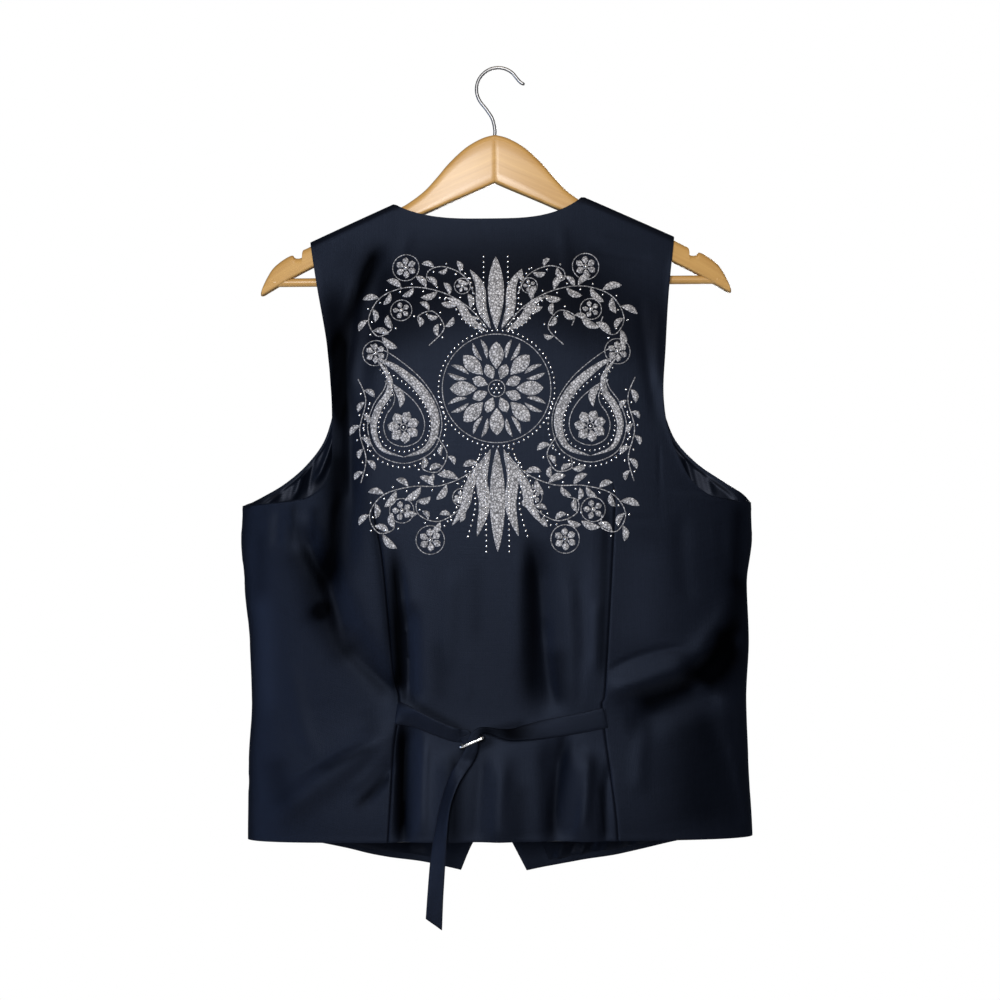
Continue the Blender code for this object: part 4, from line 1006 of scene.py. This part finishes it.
def strap_rings(rows, end_slant=0.0):
    """Rings of a flat doubled strap with rounded edges, along its route on the back."""
    dense = curve_through(rows, 8)
    x, z, lift, width, turn = dense.T
    centre = np.stack([x, seat_depth(x, z) - lift, z], axis=1)
    ahead = directions(centre)
    upright = 1.0 if x[-1] > x[0] else -1.0
    flat = upright * np.stack([-ahead[:, 2], np.zeros_like(x), ahead[:, 0]], axis=1)
    flat /= np.linalg.norm(flat, axis=1, keepdims=True)
    turned = np.radians(turn)[:, None]
    side = flat * np.cos(turned) + np.cross(ahead, flat) * np.sin(turned)
    side += ahead * np.sum(ahead * flat, axis=1)[:, None] * (1.0 - np.cos(turned))
    face = np.cross(side, ahead)
    across = np.sin(np.linspace(-0.5, 0.5, STRAP_POINTS) * math.pi)
    thick = STRAP_WALL / 2.0 * (1.0 - STRAP_EDGE_LOSS * np.abs(across) ** STRAP_EDGE_POWER)
    loop = [(a, t) for a, t in zip(across, thick)] + [(a, -t) for a, t in zip(across[::-1], thick[::-1])]
    rings = np.zeros((len(dense), len(loop), 3))
    for index, (a, t) in enumerate(loop):
        point = centre + side * (width / 2.0 * a)[:, None]
        seat = seat_depth(point[:, 0], point[:, 2]) - seat_depth(x, z)
        point[:, 1] += seat * np.cos(turned[:, 0]) ** 2
        point += face * t
        near_end = smoothstep((np.arange(len(dense)) - len(dense) + 1 + SLANT_ROWS) / SLANT_ROWS)
        point[:, 2] -= near_end * end_slant * (1.0 - a) / 2.0
        rings[:, index] = point
    return rings


def paint_strap_shade(mesh):
    """Writes a strap's attribute of painted shade and painted light from its table."""
    level = mesh.attributes.new("painted_shade", "FLOAT", "POINT")
    for vert, value in zip(mesh.vertices, level.data):
        x, z = (vert.co.x - CENTRE_X) / MM, vert.co.z / MM
        value.value = sum(dark * math.exp(-((x - at_x) ** 2 + (z - at_z) ** 2) / reach ** 2)
                          for at_x, at_z, reach, dark in STRAP_PAINTED_SHADE)


for side, rings in (("left", strap_rings(left_strap_rows())),
                    ("right", strap_rings(STRAP_RIGHT, TAIL_SLANT))):
    strap = add_tube("cinch_strap_" + side, rings, suiting, ["strap_" + side])
    paint_strap_shade(strap.data)
    print(strap.name, "length", round(float(arc_lengths(rings[:, :1], 0)[-1, 0])), "mm")

# %% [markdown]
# ## Slide
# The slide is a rounded frame of plated wire that stands on its edge in the pulled strap, so only
# its outer bar catches the light. Plating is a smooth metal with faint marks from handling.

# %% Slide
plated, add, feed = finish("plated slide", 0.16, 1.0, Base_Color=(0.86, 0.86, 0.88, 1.0))
rubbed = stretched_noise(add, add("TexCoord").outputs["Object"], (900.0, 900.0, 2400.0))
feed(Normal=bump(add, rubbed, 0.12, 0.00005))

SLIDE_CORNER = 2.4
seat = float(back_face(np.array([SLIDE_X]), np.array([SLIDE_Z]))[0])
half_deep = (SLIDE_OUTER_LIFT - SLIDE_INNER_LIFT) / 2.0
slide_line = []
for quarter in range(4):
    u_sign = 1.0 if quarter in (0, 3) else -1.0
    v_sign = 1.0 if quarter in (0, 1) else -1.0
    for step in range(7):
        turn = math.radians(90.0 * quarter + 15.0 * step)
        u = u_sign * (SLIDE_HALF - SLIDE_WIRE - SLIDE_CORNER) + SLIDE_CORNER * math.cos(turn)
        v = v_sign * (half_deep - SLIDE_CORNER) + SLIDE_CORNER * math.sin(turn)
        slide_line.append((SLIDE_X + u * math.cos(SLIDE_ANGLE),
                           seat - SLIDE_INNER_LIFT - half_deep - v,
                           SLIDE_Z + u * math.sin(SLIDE_ANGLE)))
slide_normal = (-math.sin(SLIDE_ANGLE), 0.0, math.cos(SLIDE_ANGLE))
slide_rings = wire_rings(np.array(slide_line), SLIDE_WIRE, slide_normal, sides=16, closed=True)
add_tube("slide_wire", slide_rings, plated, ["slide"], closed=True)
print("slide wire:", len(slide_line), "rings")

# %% [markdown]
# ## Wooden arms
# A contoured suit hanger has two arms sawn from a board and joined in a mitre. Each arm is a loft:
# a section with flat flanks, a round top and eased lower corners, whose top and bottom follow a
# table along the arm. The small step near the tip is the notch that keeps loops from sliding off.

# %% Wood finish
beech, add, feed = finish("varnished beech", 0.42, Coat_Weight=0.25, Coat_Roughness=0.2,
                          Specular_IOR_Level=0.4)
grain_uv = add("TexCoord").outputs["UV"]
figure = stretched_noise(add, grain_uv, (70.0, 5.0, 1.0), 2.0)
pores = stretched_noise(add, grain_uv, (1500.0, 45.0, 1.0))
fibres = stretched_noise(add, grain_uv, (420.0, 9.0, 1.0), 4.0)
tone = maths(add, "ADD", maths(add, "MULTIPLY", figure, 0.75), maths(add, "MULTIPLY", fibres, 0.5))
tone = maths(add, "MULTIPLY_ADD", tone, 1.9, -0.7, clamp=True)
flecks = maths(add, "MULTIPLY", maths(add, "GREATER_THAN", pores, 0.66), 0.1)
tone = maths(add, "SUBTRACT", tone, flecks, clamp=True)
feed(Base_Color=blend_colors(add, tone, (0.43, 0.225, 0.062), (0.62, 0.375, 0.125)),
     Normal=bump(add, fibres, 0.12, 0.0003))
print("made", beech.name)

# %% Wooden arms
ARM_HALF_THICK = 6.5
ARM_ROUND = 6.0
ARM_EASE, ARM_TIP_THICK, ARM_TIP_RISE = 2.2, 0.9, 0.75
MITRE_GROOVE, MITRE_REACH = 0.35, 0.7
ARM = {
    "x": [0.02, 12.0, 27.6, 43.3, 54.7, 67.0, 82.7, 92.0, 101.0, 115.0, 130.0, 160.0, 178.0, 183.0,
          184.0, 190.0, 193.5, 202.0, 211.5, 217.0, 221.0, HANGER_HALF],
    "top": [-61.6, -64.8, -73.6, -87.8, -101.0, -113.9, -125.2, -129.6, -132.2, -136.6, -142.6,
            -155.4, -164.2, -166.6, -173.0, -173.6, -170.8, -174.6, -181.8, -189.4, -197.0, -204.5],
    "low": [-106.7, -112.0, -118.6, -125.2, -130.2, -135.2, -141.8, -145.8, -149.8, -156.2, -163.0,
            -176.6, -185.0, -187.3, -187.8, -190.8, -192.5, -197.2, -202.4, -205.4, -207.6, -208.3],
}


def arm_ring(x, top, low):
    """Section of an arm as (across, z): flat flanks, a round top, eased lower corners."""
    height = top - low
    round_top = min(ARM_ROUND, 0.45 * height)
    soft = min(ARM_EASE, 0.2 * height)
    thick = min(ARM_HALF_THICK, ARM_TIP_THICK + ARM_TIP_RISE * height)
    thick -= MITRE_GROOVE * max(0.0, 1.0 - x / MITRE_REACH)
    ring = [(-thick, mix(low + soft, top - round_top, k / 5)) for k in range(6)]
    ring += [(-thick * math.cos(turn), top - round_top * (1.0 - math.sin(turn)))
             for turn in np.radians(np.arange(15, 180, 15))]
    ring += [(thick, mix(top - round_top, low + soft, k / 5)) for k in range(6)]
    ring += [(thick - soft * (1.0 - math.cos(turn)), low + soft * (1.0 - math.sin(turn)))
             for turn in np.radians([30.0, 60.0, 90.0])]
    ring += [(soft * (1.0 - math.sin(turn)) - thick, low + soft * (1.0 - math.cos(turn)))
             for turn in np.radians([0.0, 30.0, 60.0])]
    return [(x, arm_depth(x) + across, z) for across, z in ring]


for side, sign in SIGN.items():
    stations = curve_through(list(zip(ARM["x"], ARM["top"], ARM["low"])), 5)
    rings = np.array([arm_ring(x, top, low) for x, top, low in stations])
    rings[:, :, 0] *= sign
    add_tube("wooden_arm_" + side, rings, beech, ["hanger_arm_" + side], sharp=50.0)
    print("wooden arm", side, rings.shape[:2])

# %% [markdown]
# ## Trouser bar
# The bar is a plain dowel between the arms' tips, just behind the cloth. Its ends sit in the arms.

# %% Trouser bar
BAR_RADIUS, BAR_HALF, BAR_Y, BAR_Z = 4.1, 211.0, 18.5, -196.5
bar_line = np.array([(x, BAR_Y, BAR_Z) for x in np.linspace(-BAR_HALF, BAR_HALF, 60)])
bar_rings = wire_rings(bar_line, BAR_RADIUS, (0.0, 0.0, 1.0), sides=24)
add_tube("trouser_bar", bar_rings, beech, ["hanger_bar"], sharp=50.0)
print("bar length:", 2 * BAR_HALF, "mm")

# %% [markdown]
# ## Hook
# The hook is one piece of nickelled wire: a straight stem, a lean to one side, a round crook and a
# tip that turns out. The crook's points come from its circle, and one smooth curve joins it all.

# %% Hook
nickel, add, feed = finish("nickelled wire", 0.42, 1.0, Base_Color=(0.30, 0.30, 0.31, 1.0))
drawn = stretched_noise(add, add("TexCoord").outputs["UV"], (900.0, 30.0, 1.0))
feed(Normal=bump(add, drawn, 0.15, 0.00005))

WIRE_RADIUS, HOOK_RADIUS, CROWN_X, STEM_END_Z = 1.6, 20.4, 3.5, -61.2
stem = [(0.0, STEM_END_Z), (0.0, -56.0), (-2.2, -46.5), (-7.4, -38.0), (-13.6, -30.0)]
crook = [(CROWN_X + HOOK_RADIUS * math.cos(turn), WIRE_RADIUS + HOOK_RADIUS * (math.sin(turn) - 1.0))
         for turn in np.radians(np.linspace(192.0, 30.0, 9))]
route = curve_through(stem + crook + [(24.6, -12.4), (28.4, -14.4)], 8)
hook_line = np.stack([route[:, 0], np.zeros(len(route)), route[:, 1]], axis=1)
stem_sink = np.array([[0.0, 0.0, STEM_END_Z - 4.0]])
hook_line = np.concatenate([stem_sink, hook_line])
tip_ease = np.minimum(1.0, 0.35 + 0.65 * np.sqrt(np.arange(len(hook_line))[::-1] / 4.0))
hook_rings = wire_rings(hook_line, WIRE_RADIUS * tip_ease, (0.0, 1.0, 0.0), sides=16)
add_tube("hook_wire", hook_rings, nickel, ["hanger_hook"], sharp=60.0)
print("wire length:", round(float(np.linalg.norm(np.diff(hook_line, axis=0), axis=1).sum())), "mm")

# %% [markdown]
# ## Buttons and buttonholes
# The fronts close with five sewn-through buttons of dark horn. A button is turned: a profile of
# its half section is spun about its axis. Four holes are cut through it, and two pairs of
# stitches hold it. Each buttonhole is a worked slot: a flat ring of close thread round a slit.

# %% Button finish
horn, add, feed = finish("dark horn", 0.28, Specular_IOR_Level=0.55, Coat_Weight=0.3, Coat_Roughness=0.12)
clouded = stretched_noise(add, add("TexCoord").outputs["Object"], (160.0, 160.0, 60.0), 4.0)
feed(Base_Color=blend_colors(add, clouded, (0.010, 0.008, 0.008), (0.045, 0.036, 0.033)),
     Normal=bump(add, clouded, 0.05, 0.0002))

TWIST = 0.0006
dark_thread, add, feed = finish("navy thread", 0.6, Sheen_Weight=0.2, Base_Color=(0.010, 0.012, 0.022, 1.0))
thread_run = add("SeparateXYZ", {0: add("TexCoord").outputs["UV"]}).outputs[1]
feed(Normal=bump(add, wave(add, thread_run, TWIST), 0.5, 0.0001))
print("made", horn.name, "and", dark_thread.name)

# %% Buttons
BUTTON_PROFILE = [(0.0, 0.62), (0.45, 0.62), (0.6, 0.66), (0.7, 0.82), (0.8, 0.97), (0.9, 0.95),
                  (0.98, 0.8), (1.0, 0.55), (0.97, 0.28), (0.85, 0.06), (0.6, 0.0), (0.0, 0.0)]
HOLE_SPREAD, HOLE_RADIUS = 1.75, 0.85
BUTTON_AROUND, HOLE_AROUND = 56, 14
THREAD_RADIUS, THREAD_PAIR, THREAD_SEAT = 0.32, 0.5, 0.62
THREAD_ARCH = [(-1.0, -1.4), (-1.0, -0.1), (-0.7, 0.42), (0.0, 0.5), (0.7, 0.42), (1.0, -0.1), (1.0, -1.4)]


def turned_button(radius, thick):
    """Button about the origin with its face towards +Y, its holes cut through."""
    bm = bmesh.new()
    verts = [bm.verts.new((r * radius, h * thick, 0.0)) for r, h in BUTTON_PROFILE]
    edges = [bm.edges.new(pair) for pair in zip(verts, verts[1:])]
    bmesh.ops.spin(bm, geom=verts + edges, cent=(0, 0, 0), axis=(0, 1, 0), dvec=(0, 0, 0),
                   angle=2.0 * math.pi, steps=BUTTON_AROUND, use_merge=True, use_duplicate=False)
    bmesh.ops.remove_doubles(bm, verts=bm.verts, dist=MERGE)
    bmesh.ops.recalc_face_normals(bm, faces=bm.faces)
    disc = add_object("button blank", finished_mesh(bm, "button blank"))
    bm = bmesh.new()
    for x in (-HOLE_SPREAD, HOLE_SPREAD):
        for z in (-HOLE_SPREAD, HOLE_SPREAD):
            made = bmesh.ops.create_cone(bm, cap_ends=True, segments=HOLE_AROUND,
                                         radius1=HOLE_RADIUS * MM, radius2=HOLE_RADIUS * MM,
                                         depth=4.0 * thick)["verts"]
            bmesh.ops.rotate(bm, verts=made, cent=(0, 0, 0), matrix=Matrix.Rotation(math.pi / 2, 3, "X"))
            bmesh.ops.translate(bm, verts=made, vec=(x * MM, 0.0, z * MM))
    drill = add_object("drill", finished_mesh(bm, "drill"))
    cut = disc.modifiers.new("holes", "BOOLEAN")
    cut.object = drill
    cut.operation = "DIFFERENCE"
    bpy.context.view_layer.update()
    made = bpy.data.meshes.new_from_object(disc.evaluated_get(bpy.context.evaluated_depsgraph_get()))
    for item in (disc, drill):
        bpy.data.objects.remove(item)
    return made


button_low, button_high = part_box("button_1")
button_radius = (button_high.x - button_low.x) / 2.0
button_thick = button_high.y - button_low.y
pattern = turned_button(button_radius, button_thick)
for index in range(1, BUTTON_COUNT + 1):
    low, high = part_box(f"button_{index}")
    centre = Vector(((low.x + high.x) / 2.0, low.y, (low.z + high.z) / 2.0))
    mesh = pattern.copy()
    mesh.transform(Matrix.Translation(centre))
    mesh.shade_smooth()
    mesh.set_sharp_from_angle(angle=math.radians(40.0))
    add_piece(f"horn_button_{index}", mesh, horn, [f"button_{index}"])
    bm = bmesh.new()
    face_y = low.y / MM + THREAD_SEAT * button_thick / MM
    button_x, button_z = (centre.x - CENTRE_X) / MM, centre.z / MM
    for z in (-HOLE_SPREAD, HOLE_SPREAD):
        for lift in (0.0, THREAD_PAIR):
            height = button_z + z + lift - THREAD_PAIR / 2.0
            arch = [(button_x + HOLE_SPREAD * u, face_y + v, height) for u, v in THREAD_ARCH]
            lay_tube(bm, wire_rings(curve_through(arch, 4), THREAD_RADIUS, (0.0, 0.0, 1.0), sides=8))
    name = f"button_thread_{index}"
    add_piece(name, finished_mesh(bm, name), dark_thread)
print("buttons:", BUTTON_COUNT, "of", round(2000 * button_radius, 1), "mm")

# %% Buttonholes
FIRST_BUTTON_DROP = 8.0
HOLE_LENGTH, HOLE_HALF, HOLE_PAST = 17.0, 1.5, 3.0
HOLE_THREAD, HOLE_LIFT = 0.62, 0.1
turns = np.radians(np.arange(0, 360, 15))
hole_x = np.where(np.cos(turns) > 0.0, HOLE_PAST, HOLE_PAST - HOLE_LENGTH) + HOLE_HALF * np.cos(turns)
for index in range(BUTTON_COUNT):
    hole_z = FIRST_BUTTON_Z - FIRST_BUTTON_DROP - BUTTON_STEP * index + HOLE_HALF * np.sin(turns)
    hole_y = front_depth(hole_x, hole_z, 0.0) + WALL / 2.0 + HOLE_LIFT
    slot = np.stack([hole_x, hole_y, hole_z], axis=1)
    rings = wire_rings(slot, HOLE_THREAD, (0.0, 1.0, 0.0), sides=10, closed=True)
    add_tube(f"buttonhole_{index + 1}", rings, dark_thread, closed=True)
print("buttonholes:", BUTTON_COUNT)

# %% [markdown]
# ## Embroidery: thread and studs
# The back carries a large ornament in silver-grey thread. Wide shapes are satin stitch: threads
# laid side by side across the shape, so the fill is ridged and a little crowned. Here the fill is
# broken by small dark gaps, as a pieced seed fill is. Thin lines are a running stitch, and rows of
# small metal studs follow the curves.

# %% Silver thread and stud finish
SATIN_THREAD = 0.0007
silver_thread, add, feed = finish("silver thread", 0.42, Sheen_Weight=0.15, Sheen_Roughness=0.4,
                                  Specular_IOR_Level=0.45)
coordinates = add("TexCoord").outputs
grains = add("TexVoronoi", {"Vector": coordinates["Object"], "Scale": 400.0}, feature="DISTANCE_TO_EDGE")
gaps = maths(add, "MULTIPLY", grains.outputs["Distance"], 5.0, clamp=True)
specks = stretched_noise(add, coordinates["Object"], (520.0, 520.0, 520.0), 2.0)
specks = maths(add, "MULTIPLY_ADD", specks, 4.0, -1.15, clamp=True)
tone = maths(add, "MULTIPLY", gaps, specks)
along = add("SeparateXYZ", {0: coordinates["UV"]}).outputs[1]
pieced = bump(add, gaps, 0.5, 0.0003)
feed(Base_Color=blend_colors(add, tone, (0.062, 0.063, 0.072), (0.62, 0.62, 0.66)),
     Normal=bump(add, wave(add, along, SATIN_THREAD), 0.5, 0.00012, Normal=pieced))

stud_metal, add, feed = finish("bright stud", 0.22, 1.0, Base_Color=(0.80, 0.80, 0.82, 1.0))
wear_and_painted_shade = stretched_noise(add, add("TexCoord").outputs["Object"], (500.0, 500.0, 500.0))
feed(Normal=bump(add, wear_and_painted_shade, 0.1, 0.0001))
print("made", silver_thread.name, "and", stud_metal.name)

# %% Embroidery helpers
SATIN_STEP = 2.6
THREAD_STEP = 1.1
LINE_RADIUS = 0.46
STITCH_LENGTH = 2.8
STUD_RADIUS, STUD_FLAT, STUD_LIFT, STUD_AROUND, STUD_ALONG = 1.2, 0.7, 0.2, 8, 6
HEART_STUD, MIDDLE_STUD = 1.4, 1.6
SATIN_RING = [(-1.0, 0.0), (-0.86, 0.5), (-0.5, 0.86), (0.0, 1.0), (0.5, 0.86), (0.86, 0.5), (1.0, 0.0),
              (0.45, -0.45), (-0.45, -0.45)]
fills, lines, studs = bmesh.new(), bmesh.new(), bmesh.new()


def on_back(x, z, height):
    """Points that stand a height above the back's outer face."""
    return np.stack([x, creased_back(x, z) - WALL / 2.0 - height, z], axis=-1)


def even_line(points, step):
    """Smooth curve through 2-D points, read at even steps."""
    dense = curve_through(points)
    run = np.concatenate([[0.0], np.cumsum(np.linalg.norm(np.diff(dense, axis=0), axis=1))])
    count = max(5, round(run[-1] / step) + 1)
    shares = np.linspace(0.0, run[-1], count)
    line = np.column_stack([np.interp(shares, run, dense[:, axis]) for axis in (0, 1)])
    return line, shares


def satin(points, width, belly=1.0, height=0.75):
    """Satin stitch along a line, pointed at both ends; belly moves its widest place."""
    line, run = even_line(points, SATIN_STEP)
    ahead = np.gradient(line, axis=0)
    side = np.stack([-ahead[:, 1], ahead[:, 0]], axis=1)
    side /= np.linalg.norm(side, axis=1, keepdims=True)
    swell = np.sin(math.pi * (run / run[-1]) ** belly) ** 0.75
    half = np.maximum(width / 2.0 * swell, 0.12)
    rings = []
    for across, up in SATIN_RING:
        point = line + side * (half * across)[:, None]
        rings.append(on_back(point[:, 0], point[:, 1], height * up * np.minimum(1.0, half)))
    lay_tube(fills, np.stack(rings, axis=1))


def stitched_line(points, radius=LINE_RADIUS):
    """Running stitch: a thin thread that dips where each stitch ends."""
    line, run = even_line(points, THREAD_STEP)
    dips = np.abs(np.sin(math.pi * run / STITCH_LENGTH))
    thick = radius * (0.7 + 0.3 * dips)
    rings = wire_rings(on_back(line[:, 0], line[:, 1], thick * 0.5), thick, (0.0, 1.0, 0.0), sides=6)
    lay_tube(lines, rings)


def stud(x, z, radius=STUD_RADIUS):
    place = Vector(to_frame(on_back(np.array([x]), np.array([z]), np.array([STUD_LIFT])))[0])
    part = bmesh.new()
    bmesh.ops.create_uvsphere(part, u_segments=STUD_AROUND, v_segments=STUD_ALONG, radius=radius * MM,
                              matrix=Matrix.Rotation(math.pi / 2.0, 4, "X"))
    bmesh.ops.scale(part, vec=(1.0, STUD_FLAT, 1.0), verts=part.verts)
    bmesh.ops.translate(part, vec=place, verts=part.verts)
    add_mesh(studs, part)


def stud_row(points, spacing, radius=STUD_RADIUS):
    for x, z in even_line(points, spacing)[0]:
        stud(x, z, radius)


def ring_points(x, z, radius, count):
    angles = 2.0 * math.pi * np.linspace(0.0, 1.0, count + 1)
    return [(x + radius * math.cos(angle), z + radius * math.sin(angle)) for angle in angles]


def ray(x, z, angle, near, far, bow=0.0):
    """Three points of a petal that grows from (x, z) in one direction."""
    along, aside = (math.cos(angle), math.sin(angle)), (-math.sin(angle), math.cos(angle))
    middle = (near + far) / 2.0
    return [(x + along[0] * near, z + along[1] * near),
            (x + along[0] * middle + aside[0] * bow, z + along[1] * middle + aside[1] * bow),
            (x + along[0] * far, z + along[1] * far)]


print("embroidery helpers ready")

# %% [markdown]
# ## Embroidery: the layout
# The ornament is a free design of flowers, leaves, paisleys and scrolls, of the size and colours
# that suit this back. A rosette holds the centre and everything else is mirrored about the centre
# line. Three meshes collect it: satin fills, stitched lines and studs.

# %% Rosette and flowers
ROSE_Z = -302.0
PETAL_START, PETAL_BOW, PETAL_WIDTH, PETAL_BELLY, HEART = 0.24, 0.06, 0.62, 1.25, 0.2
# Turn in degrees, near and far end, bow, width and belly of the four petals in each eighth
ROSE_PETALS = [(22.5, 9.0, 24.0, 0.0, 9.5, 1.2), (45.0, 18.0, 43.0, 0.0, 13.5, 1.15),
               (27.5, 29.0, 47.0, 1.5, 4.2, 1.0), (17.5, 29.0, 47.0, -1.5, 4.2, 1.0)]


def flower(x, z, radius, petals, start=0.0):
    for index in range(petals):
        angle = start + 2.0 * math.pi * index / petals
        petal = ray(x, z, angle, PETAL_START * radius, radius, PETAL_BOW * radius)
        satin(petal, PETAL_WIDTH * radius, PETAL_BELLY)
    stitched_line(ring_points(x, z, HEART * radius, 10))
    stud(x, z, HEART_STUD)


for index in range(8):
    for turn, near, far, bow, width, belly in ROSE_PETALS:
        angle = math.radians(45.0 * index + turn)
        satin(ray(0.0, ROSE_Z, angle, near, far, bow), width, belly)
stitched_line(ring_points(0.0, ROSE_Z, 7.6, 14))
stitched_line(ring_points(0.0, ROSE_Z, 50.0, 40))
stud_row(ring_points(0.0, ROSE_Z, 4.4, 12), 4.6)
stud_row(ring_points(0.0, ROSE_Z, 53.5, 40), 4.9)
stud(0.0, ROSE_Z, MIDDLE_STUD)
print("rosette faces:", len(fills.faces))

# %% Paisleys
PAISLEY = [(0.95, 2.35), (0.30, 2.02), (-0.50, 1.35), (-0.98, 0.60), (-1.08, -0.10), (-0.78, -0.76),
           (0.0, -1.06), (0.76, -0.76), (1.03, -0.05), (0.86, 0.60), (0.52, 1.12), (0.48, 1.66),
           (0.95, 2.35)]
PAISLEY_AT = (86.0, -336.0)
PAISLEY_SIZE = 27.0


def paisley(side, share):
    """Outline of a paisley, shrunk towards the middle of its bulb by a share."""
    return [(side * (PAISLEY_AT[0] + PAISLEY_SIZE * share * u), PAISLEY_AT[1] + PAISLEY_SIZE * share * v)
            for u, v in PAISLEY]


for side in (-1.0, 1.0):
    outer = paisley(side, 1.0)
    satin(outer[:7], 9.0, 0.9, 0.85)
    satin(outer[6:], 6.5, 1.1, 0.8)
    stitched_line(paisley(side, 1.2))
    stitched_line(paisley(side, 0.66))
    stud_row(paisley(side, 0.83), 4.6, 1.05)
    stud_row(paisley(side, 1.33)[3:10], 5.2)
    flower(side * PAISLEY_AT[0], PAISLEY_AT[1] - 1.0, 15.0, 7, 0.3)
    satin([(side * (PAISLEY_AT[0] + u), PAISLEY_AT[1] + v) for u, v in ((3, 17), (2, 27), (9, 38))], 7.0)
print("fill faces:", len(fills.faces))

# %% Scrolls with leaves
SCROLLS = [
    [(9, -246), (26, -226), (52, -211), (82, -206), (108, -215), (119, -236), (110, -252), (97, -246),
     (99, -235)],
    [(9, -362), (26, -380), (52, -391), (80, -392), (106, -400), (118, -418), (110, -434), (96, -431),
     (96, -419)],
    [(62, -262), (48, -246), (58, -230), (72, -234), (70, -244)],
    [(56, -345), (46, -362), (54, -378), (68, -376), (68, -366)],
    [(128, -292), (121, -312), (127, -340), (121, -366), (126, -388)],
    [(22, -392), (34, -412), (54, -424), (72, -418), (74, -406), (64, -402)],
    [(20, -214), (30, -196), (48, -187), (62, -190), (64, -199), (56, -203)],
]
LEAF_SPACING, LEAF_LENGTH, LEAF_WIDTH, STUD_BESIDE = 11.5, 17.0, 6.4, 4.2
LEAF_ANGLE, LEAF_BOW, LEAF_BELLY, SCROLL_LINE = math.radians(38.0), 2.2, 1.1, 0.55
LARGE_SCROLLS, SMALL_LEAF = 2, 0.72
draw = random.Random(7)
for side in (-1.0, 1.0):
    for number, points in enumerate(SCROLLS):
        curve = [(side * x, z) for x, z in points]
        stitched_line(curve, SCROLL_LINE)
        line, run = even_line(curve, LEAF_SPACING)
        ahead = np.gradient(line, axis=0)
        for index in range(1, len(line) - 1):
            hand = 1.0 if (index + number) % 2 else -1.0
            angle = math.atan2(ahead[index, 1], ahead[index, 0]) + hand * LEAF_ANGLE
            size = LEAF_LENGTH * (0.8 + 0.4 * draw.random())
            size *= 1.0 if number < LARGE_SCROLLS else SMALL_LEAF
            width = LEAF_WIDTH * (size / LEAF_LENGTH) ** 0.6
            satin(ray(*line[index], angle, 1.0, size, hand * LEAF_BOW), width, LEAF_BELLY)
            beside = STUD_BESIDE * hand
            stud(line[index, 0] + beside * math.sin(angle), line[index, 1] - beside * math.cos(angle))
print("fill faces:", len(fills.faces))

# %% Leaves above and below
UPRIGHT = [
    ([(0, -248), (0, -222), (0, -178)], 15.0, 1.1),
    ([(5, -247), (13, -228), (15, -206), (24, -190)], 9.5, 1.0),
    ([(9, -249), (24, -239), (35, -222), (46, -217)], 8.0, 1.0),
    ([(0, -357), (0, -392), (0, -452)], 14.0, 1.0),
    ([(6, -358), (14, -384), (12, -410), (19, -438)], 11.0, 1.0),
    ([(10, -366), (25, -390), (30, -410), (42, -428)], 9.0, 1.0),
]
BLOOMS = [(33.0, -402.0, 6.5, 5), (62.0, -441.0, 10.5, 6), (88.0, -414.0, 9.0, 5), (84.0, -187.0, 10.0, 6),
          (88.0, -228.0, 8.0, 5), (31.0, -206.0, 6.0, 5), (112.0, -268.0, 9.5, 6)]
for side in (-1.0, 1.0):
    for points, width, belly in UPRIGHT:
        if side > 0.0 or points[0][0]:
            satin([(side * x, z) for x, z in points], width, belly)
        stud_row([(side * (x + width * 0.75), z) for x, z in points], 5.0)
    for x, z, radius, petals in BLOOMS:
        flower(side * x, z, radius, petals, 0.5)
        stitched_line(ring_points(side * x, z, radius * 1.25, 16))
print("studs:", len(studs.faces) // (STUD_AROUND * STUD_ALONG))

# %% Join the embroidery
for name, made, material, slot in (("embroidery_fills", fills, silver_thread, "cloth"),
                                   ("embroidery_lines", lines, silver_thread, "cloth"),
                                   ("embroidery_studs", studs, stud_metal, "slide")):
    mesh = finished_mesh(made, name, 65.0)
    print(name, "faces:", len(mesh.polygons))
    add_piece(name, mesh, material)
